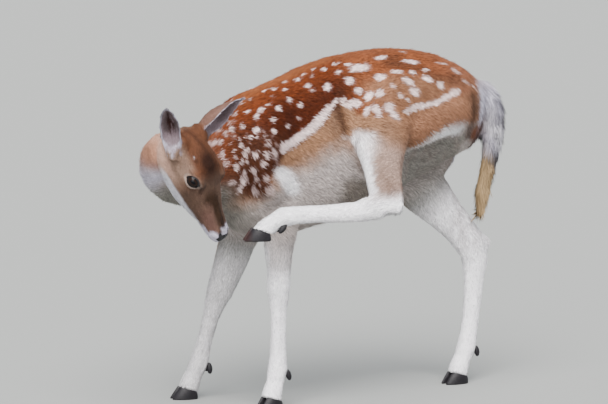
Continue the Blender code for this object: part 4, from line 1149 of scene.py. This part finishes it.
middleX = points[triangles].mean(1)[:, 0]
cuts = [-1, -0.12, 0.0, 0.12, 0.25, 1]
coatAreas = {}
for number, (low, high) in enumerate(zip(cuts[:-1], cuts[1:])):
    coatAreas["coatBody%d" % (number + 1)] = inRegions("trunk") & (middleX >= low) & (middleX < high)
coatAreas["coatNeck"] = inRegions("neck_base", "neck_bend")
coatAreas["coatHead"] = inRegions("head")
coatAreas["coatEars"] = inRegions("ear_left", "ear_right")
coatAreas["coatTail"] = inRegions("tail")
coatAreas["coatForelegs"] = inRegions(*forelegs)
coatAreas["coatHindlegs"] = inRegions(*hindlegs)
coatCount = sum(growCoat(name, chosen) for name, chosen in coatAreas.items())
print("coat triangles", coatCount, "skin", len(skinMesh.loop_triangles))

eyeShape = {"segments": 48, "rings": 32, "cornea": 0.0009, "iris": 0.009, "sunk": 0.0004, "pupil": (0.0062, 0.0036)}
irisStops = [  # out from the middle
    (0.42, (0.0025, 0.0022, 0.0030)), (0.52, (0.017, 0.0075, 0.0045)),
    (0.85, (0.009, 0.005, 0.0035)), (0.97, (0.006, 0.004, 0.004)),
]


def eyeMaterial():
    made, tree, shader = newMaterial("eyeGloss")
    ring = addNode(tree, "Attribute", attribute_name="irisRing").outputs["Fac"]
    feed(tree, shader, {"Base Color": colourStops(tree, ring, *irisStops), "Roughness": 0.15})
    feed(tree, shader, {"Specular IOR Level": 0.10, "Coat Weight": 0.07, "Coat Roughness": 0.03})
    return made


eyeGloss = eyeMaterial()
for side, (centre, outWay, along, above) in eyeFrames.items():
    ball = bmesh.new()
    bmesh.ops.create_uvsphere(ball, u_segments=eyeShape["segments"], v_segments=eyeShape["rings"], radius=eyeRadius)
    turn = Matrix((along, above, outWay)).transposed().to_4x4()
    if turn.determinant() < 0:
        turn = Matrix((along, -above, outWay)).transposed().to_4x4()
    ring = []
    for vert in ball.verts:
        out = math.hypot(vert.co.x, vert.co.y)
        swell = eyeShape["cornea"] * math.exp(-((out / eyeShape["iris"]) ** 2)) * (vert.co.z > 0)
        vert.co.z += swell - eyeShape["sunk"]
        rise = math.hypot(vert.co.x / eyeShape["pupil"][0], vert.co.y / eyeShape["pupil"][1]) * irisStops[0][0]
        ring.append(min(rise, 1.0) if vert.co.z > 0 else 1.0)
    ball.transform(Matrix.Translation(centre) @ turn)
    bmesh.ops.recalc_face_normals(ball, faces=ball.faces)
    mesh = meshFrom(ball, "eye" + side.title())
    mesh.attributes.new("irisRing", "FLOAT", "POINT").data.foreach_set("value", np.array(ring, np.float32))
    mesh.shade_smooth()
    mesh.materials.append(eyeGloss)
    made = addObject("eye" + side.title(), mesh)
    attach(made, "root")
    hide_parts("eye_" + side)
print("eyes set")

hoof = {
    "edge": 0.0012, "dewEdge": 0.0006, "sharp": 0.6, "rings": (220, 220, 900),
    "dark": (0.004, 0.0035, 0.0045), "light": (0.014, 0.012, 0.015),
    "stain": (0.030, 0.010, 0.008), "stainReach": 0.013, "stainEnd": 0.0273,
}


def hoofMaterial(name, stainAt=None):
    made, tree, shader = newMaterial(name)
    place = addNode(tree, "TexCoord").outputs["Object"]
    stretch = addNode(tree, "Mapping", Scale=hoof["rings"], Vector=place)
    rings = addNode(tree, "TexNoise", Scale=1.0, Detail=3.0, Vector=stretch.outputs["Vector"]).outputs["Fac"]
    source = colourStops(tree, rings, (0.3, hoof["dark"]), (0.72, hoof["light"]))
    if stainAt is not None:
        gap = addNode(tree, "VectorMath", place, stainAt, operation="DISTANCE")
        fade = addNode(tree, "MapRange", Value=gap.outputs["Value"])
        feed(tree, fade, {"From Min": hoof["stainReach"], "From Max": hoof["stainEnd"], "To Min": 0.8, "To Max": 0.0})
        stain = addNode(tree, "Mix", data_type="RGBA", B=(*hoof["stain"], 1), Factor=fade.outputs["Result"], A=source)
        source = stain.outputs["Result"]
    feed(tree, shader, {"Base Color": source, "Normal": addBump(tree, rings, 0.4, 0.0006)})
    feed(tree, shader, {"Roughness": 0.5, "Specular IOR Level": 0.25})
    return made


hoofHorn = hoofMaterial("hoofHorn")
raisedLow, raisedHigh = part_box("hind_left_claw_right")
raisedTip = (raisedLow.x + 0.004, (raisedLow.y + raisedHigh.y) / 2, raisedLow.z + 0.006)
hoofStained = hoofMaterial("hoofStained", raisedTip)
for foot in feet:
    for part in ("_claw_left", "_claw_right", "_dewclaw_left", "_dewclaw_right"):
        shape = mergedCopy(foot + part, 0)
        sharp = [edge for edge in shape.edges if len(edge.link_faces) == 2 and edge.calc_face_angle() > hoof["sharp"]]
        bmesh.ops.bevel(shape, geom=sharp, offset=hoof["dewEdge" if "dew" in part else "edge"], offset_type="OFFSET",
                        affect="EDGES", segments=2, profile=0.5, material=-1, clamp_overlap=True)
        mesh = meshFrom(shape, foot + part + "_horn")
        mesh.shade_smooth()
        mesh.materials.append(hoofStained if foot == "hind_left" else hoofHorn)
        made = addObject(foot + part + "_horn", mesh)
        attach(made, "root")
        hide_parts(foot + part)
print("hooves set")

studio = {
    "floor": (0.28, 0.285, 0.275),
    "floorSize": 60,
    "world": (0.86, 0.92, 1.0),
    "worldStrength": 0.85,
    "aim": (0, 0, 0.45),
    "cameraPlace": (-4.4534, -7.6080, 1.5334),
    "azimuth": -30.0,
    "elevation": 7.0,
    "lens": 235.5,
}
floorForm = bmesh.new()
bmesh.ops.create_grid(floorForm, x_segments=1, y_segments=1, size=studio["floorSize"])
floor = addObject("floor", meshFrom(floorForm, "floor"))
floorPaint, floorTree, floorShader = newMaterial("floorPaint")
feed(floorTree, floorShader, {"Base Color": (*studio["floor"], 1), "Roughness": 0.9})
floor.data.materials.append(floorPaint)

world = bpy.data.worlds.new("studioAir")
world.use_nodes = True
air = world.node_tree.nodes["Background"]
feed(world.node_tree, air, {"Color": (*studio["world"], 1), "Strength": studio["worldStrength"]})
scene.world = world

lights = {  # place, spread in degrees, strength, colour
    "topSoft": ((-0.9, -1.5, 3.0), 50, 8.0, (1.0, 0.985, 0.965)),
    "keySoft": ((-3.2, -3.6, 1.6), 45, 2.4, (1.0, 0.98, 0.96)),
}
for name, (place, spread, strength, tint) in lights.items():
    data = bpy.data.lights.new(name, "SUN")
    data.angle = math.radians(spread)
    data.energy = strength
    data.color = tint
    lamp = addObject(name, data)
    lamp.location = place
    lamp.rotation_euler = (Vector(studio["aim"]) - Vector(place)).to_track_quat("-Z", "Y").to_euler()

azimuth, elevation = math.radians(studio["azimuth"]), math.radians(studio["elevation"])
flat = math.cos(elevation)
look = Vector((-math.sin(azimuth) * flat, math.cos(azimuth) * flat, -math.sin(elevation)))
level = Vector((math.cos(azimuth), math.sin(azimuth), 0))
lensData = bpy.data.cameras.new("viewCamera")
lensData.lens = studio["lens"]
lensData.sensor_width = 36
lensData.clip_end = 200
camera = addObject("viewCamera", lensData)
turn = Matrix((level, level.cross(look), -look)).transposed()
camera.matrix_world = Matrix.Translation(studio["cameraPlace"]) @ turn.to_4x4()
scene.camera = camera
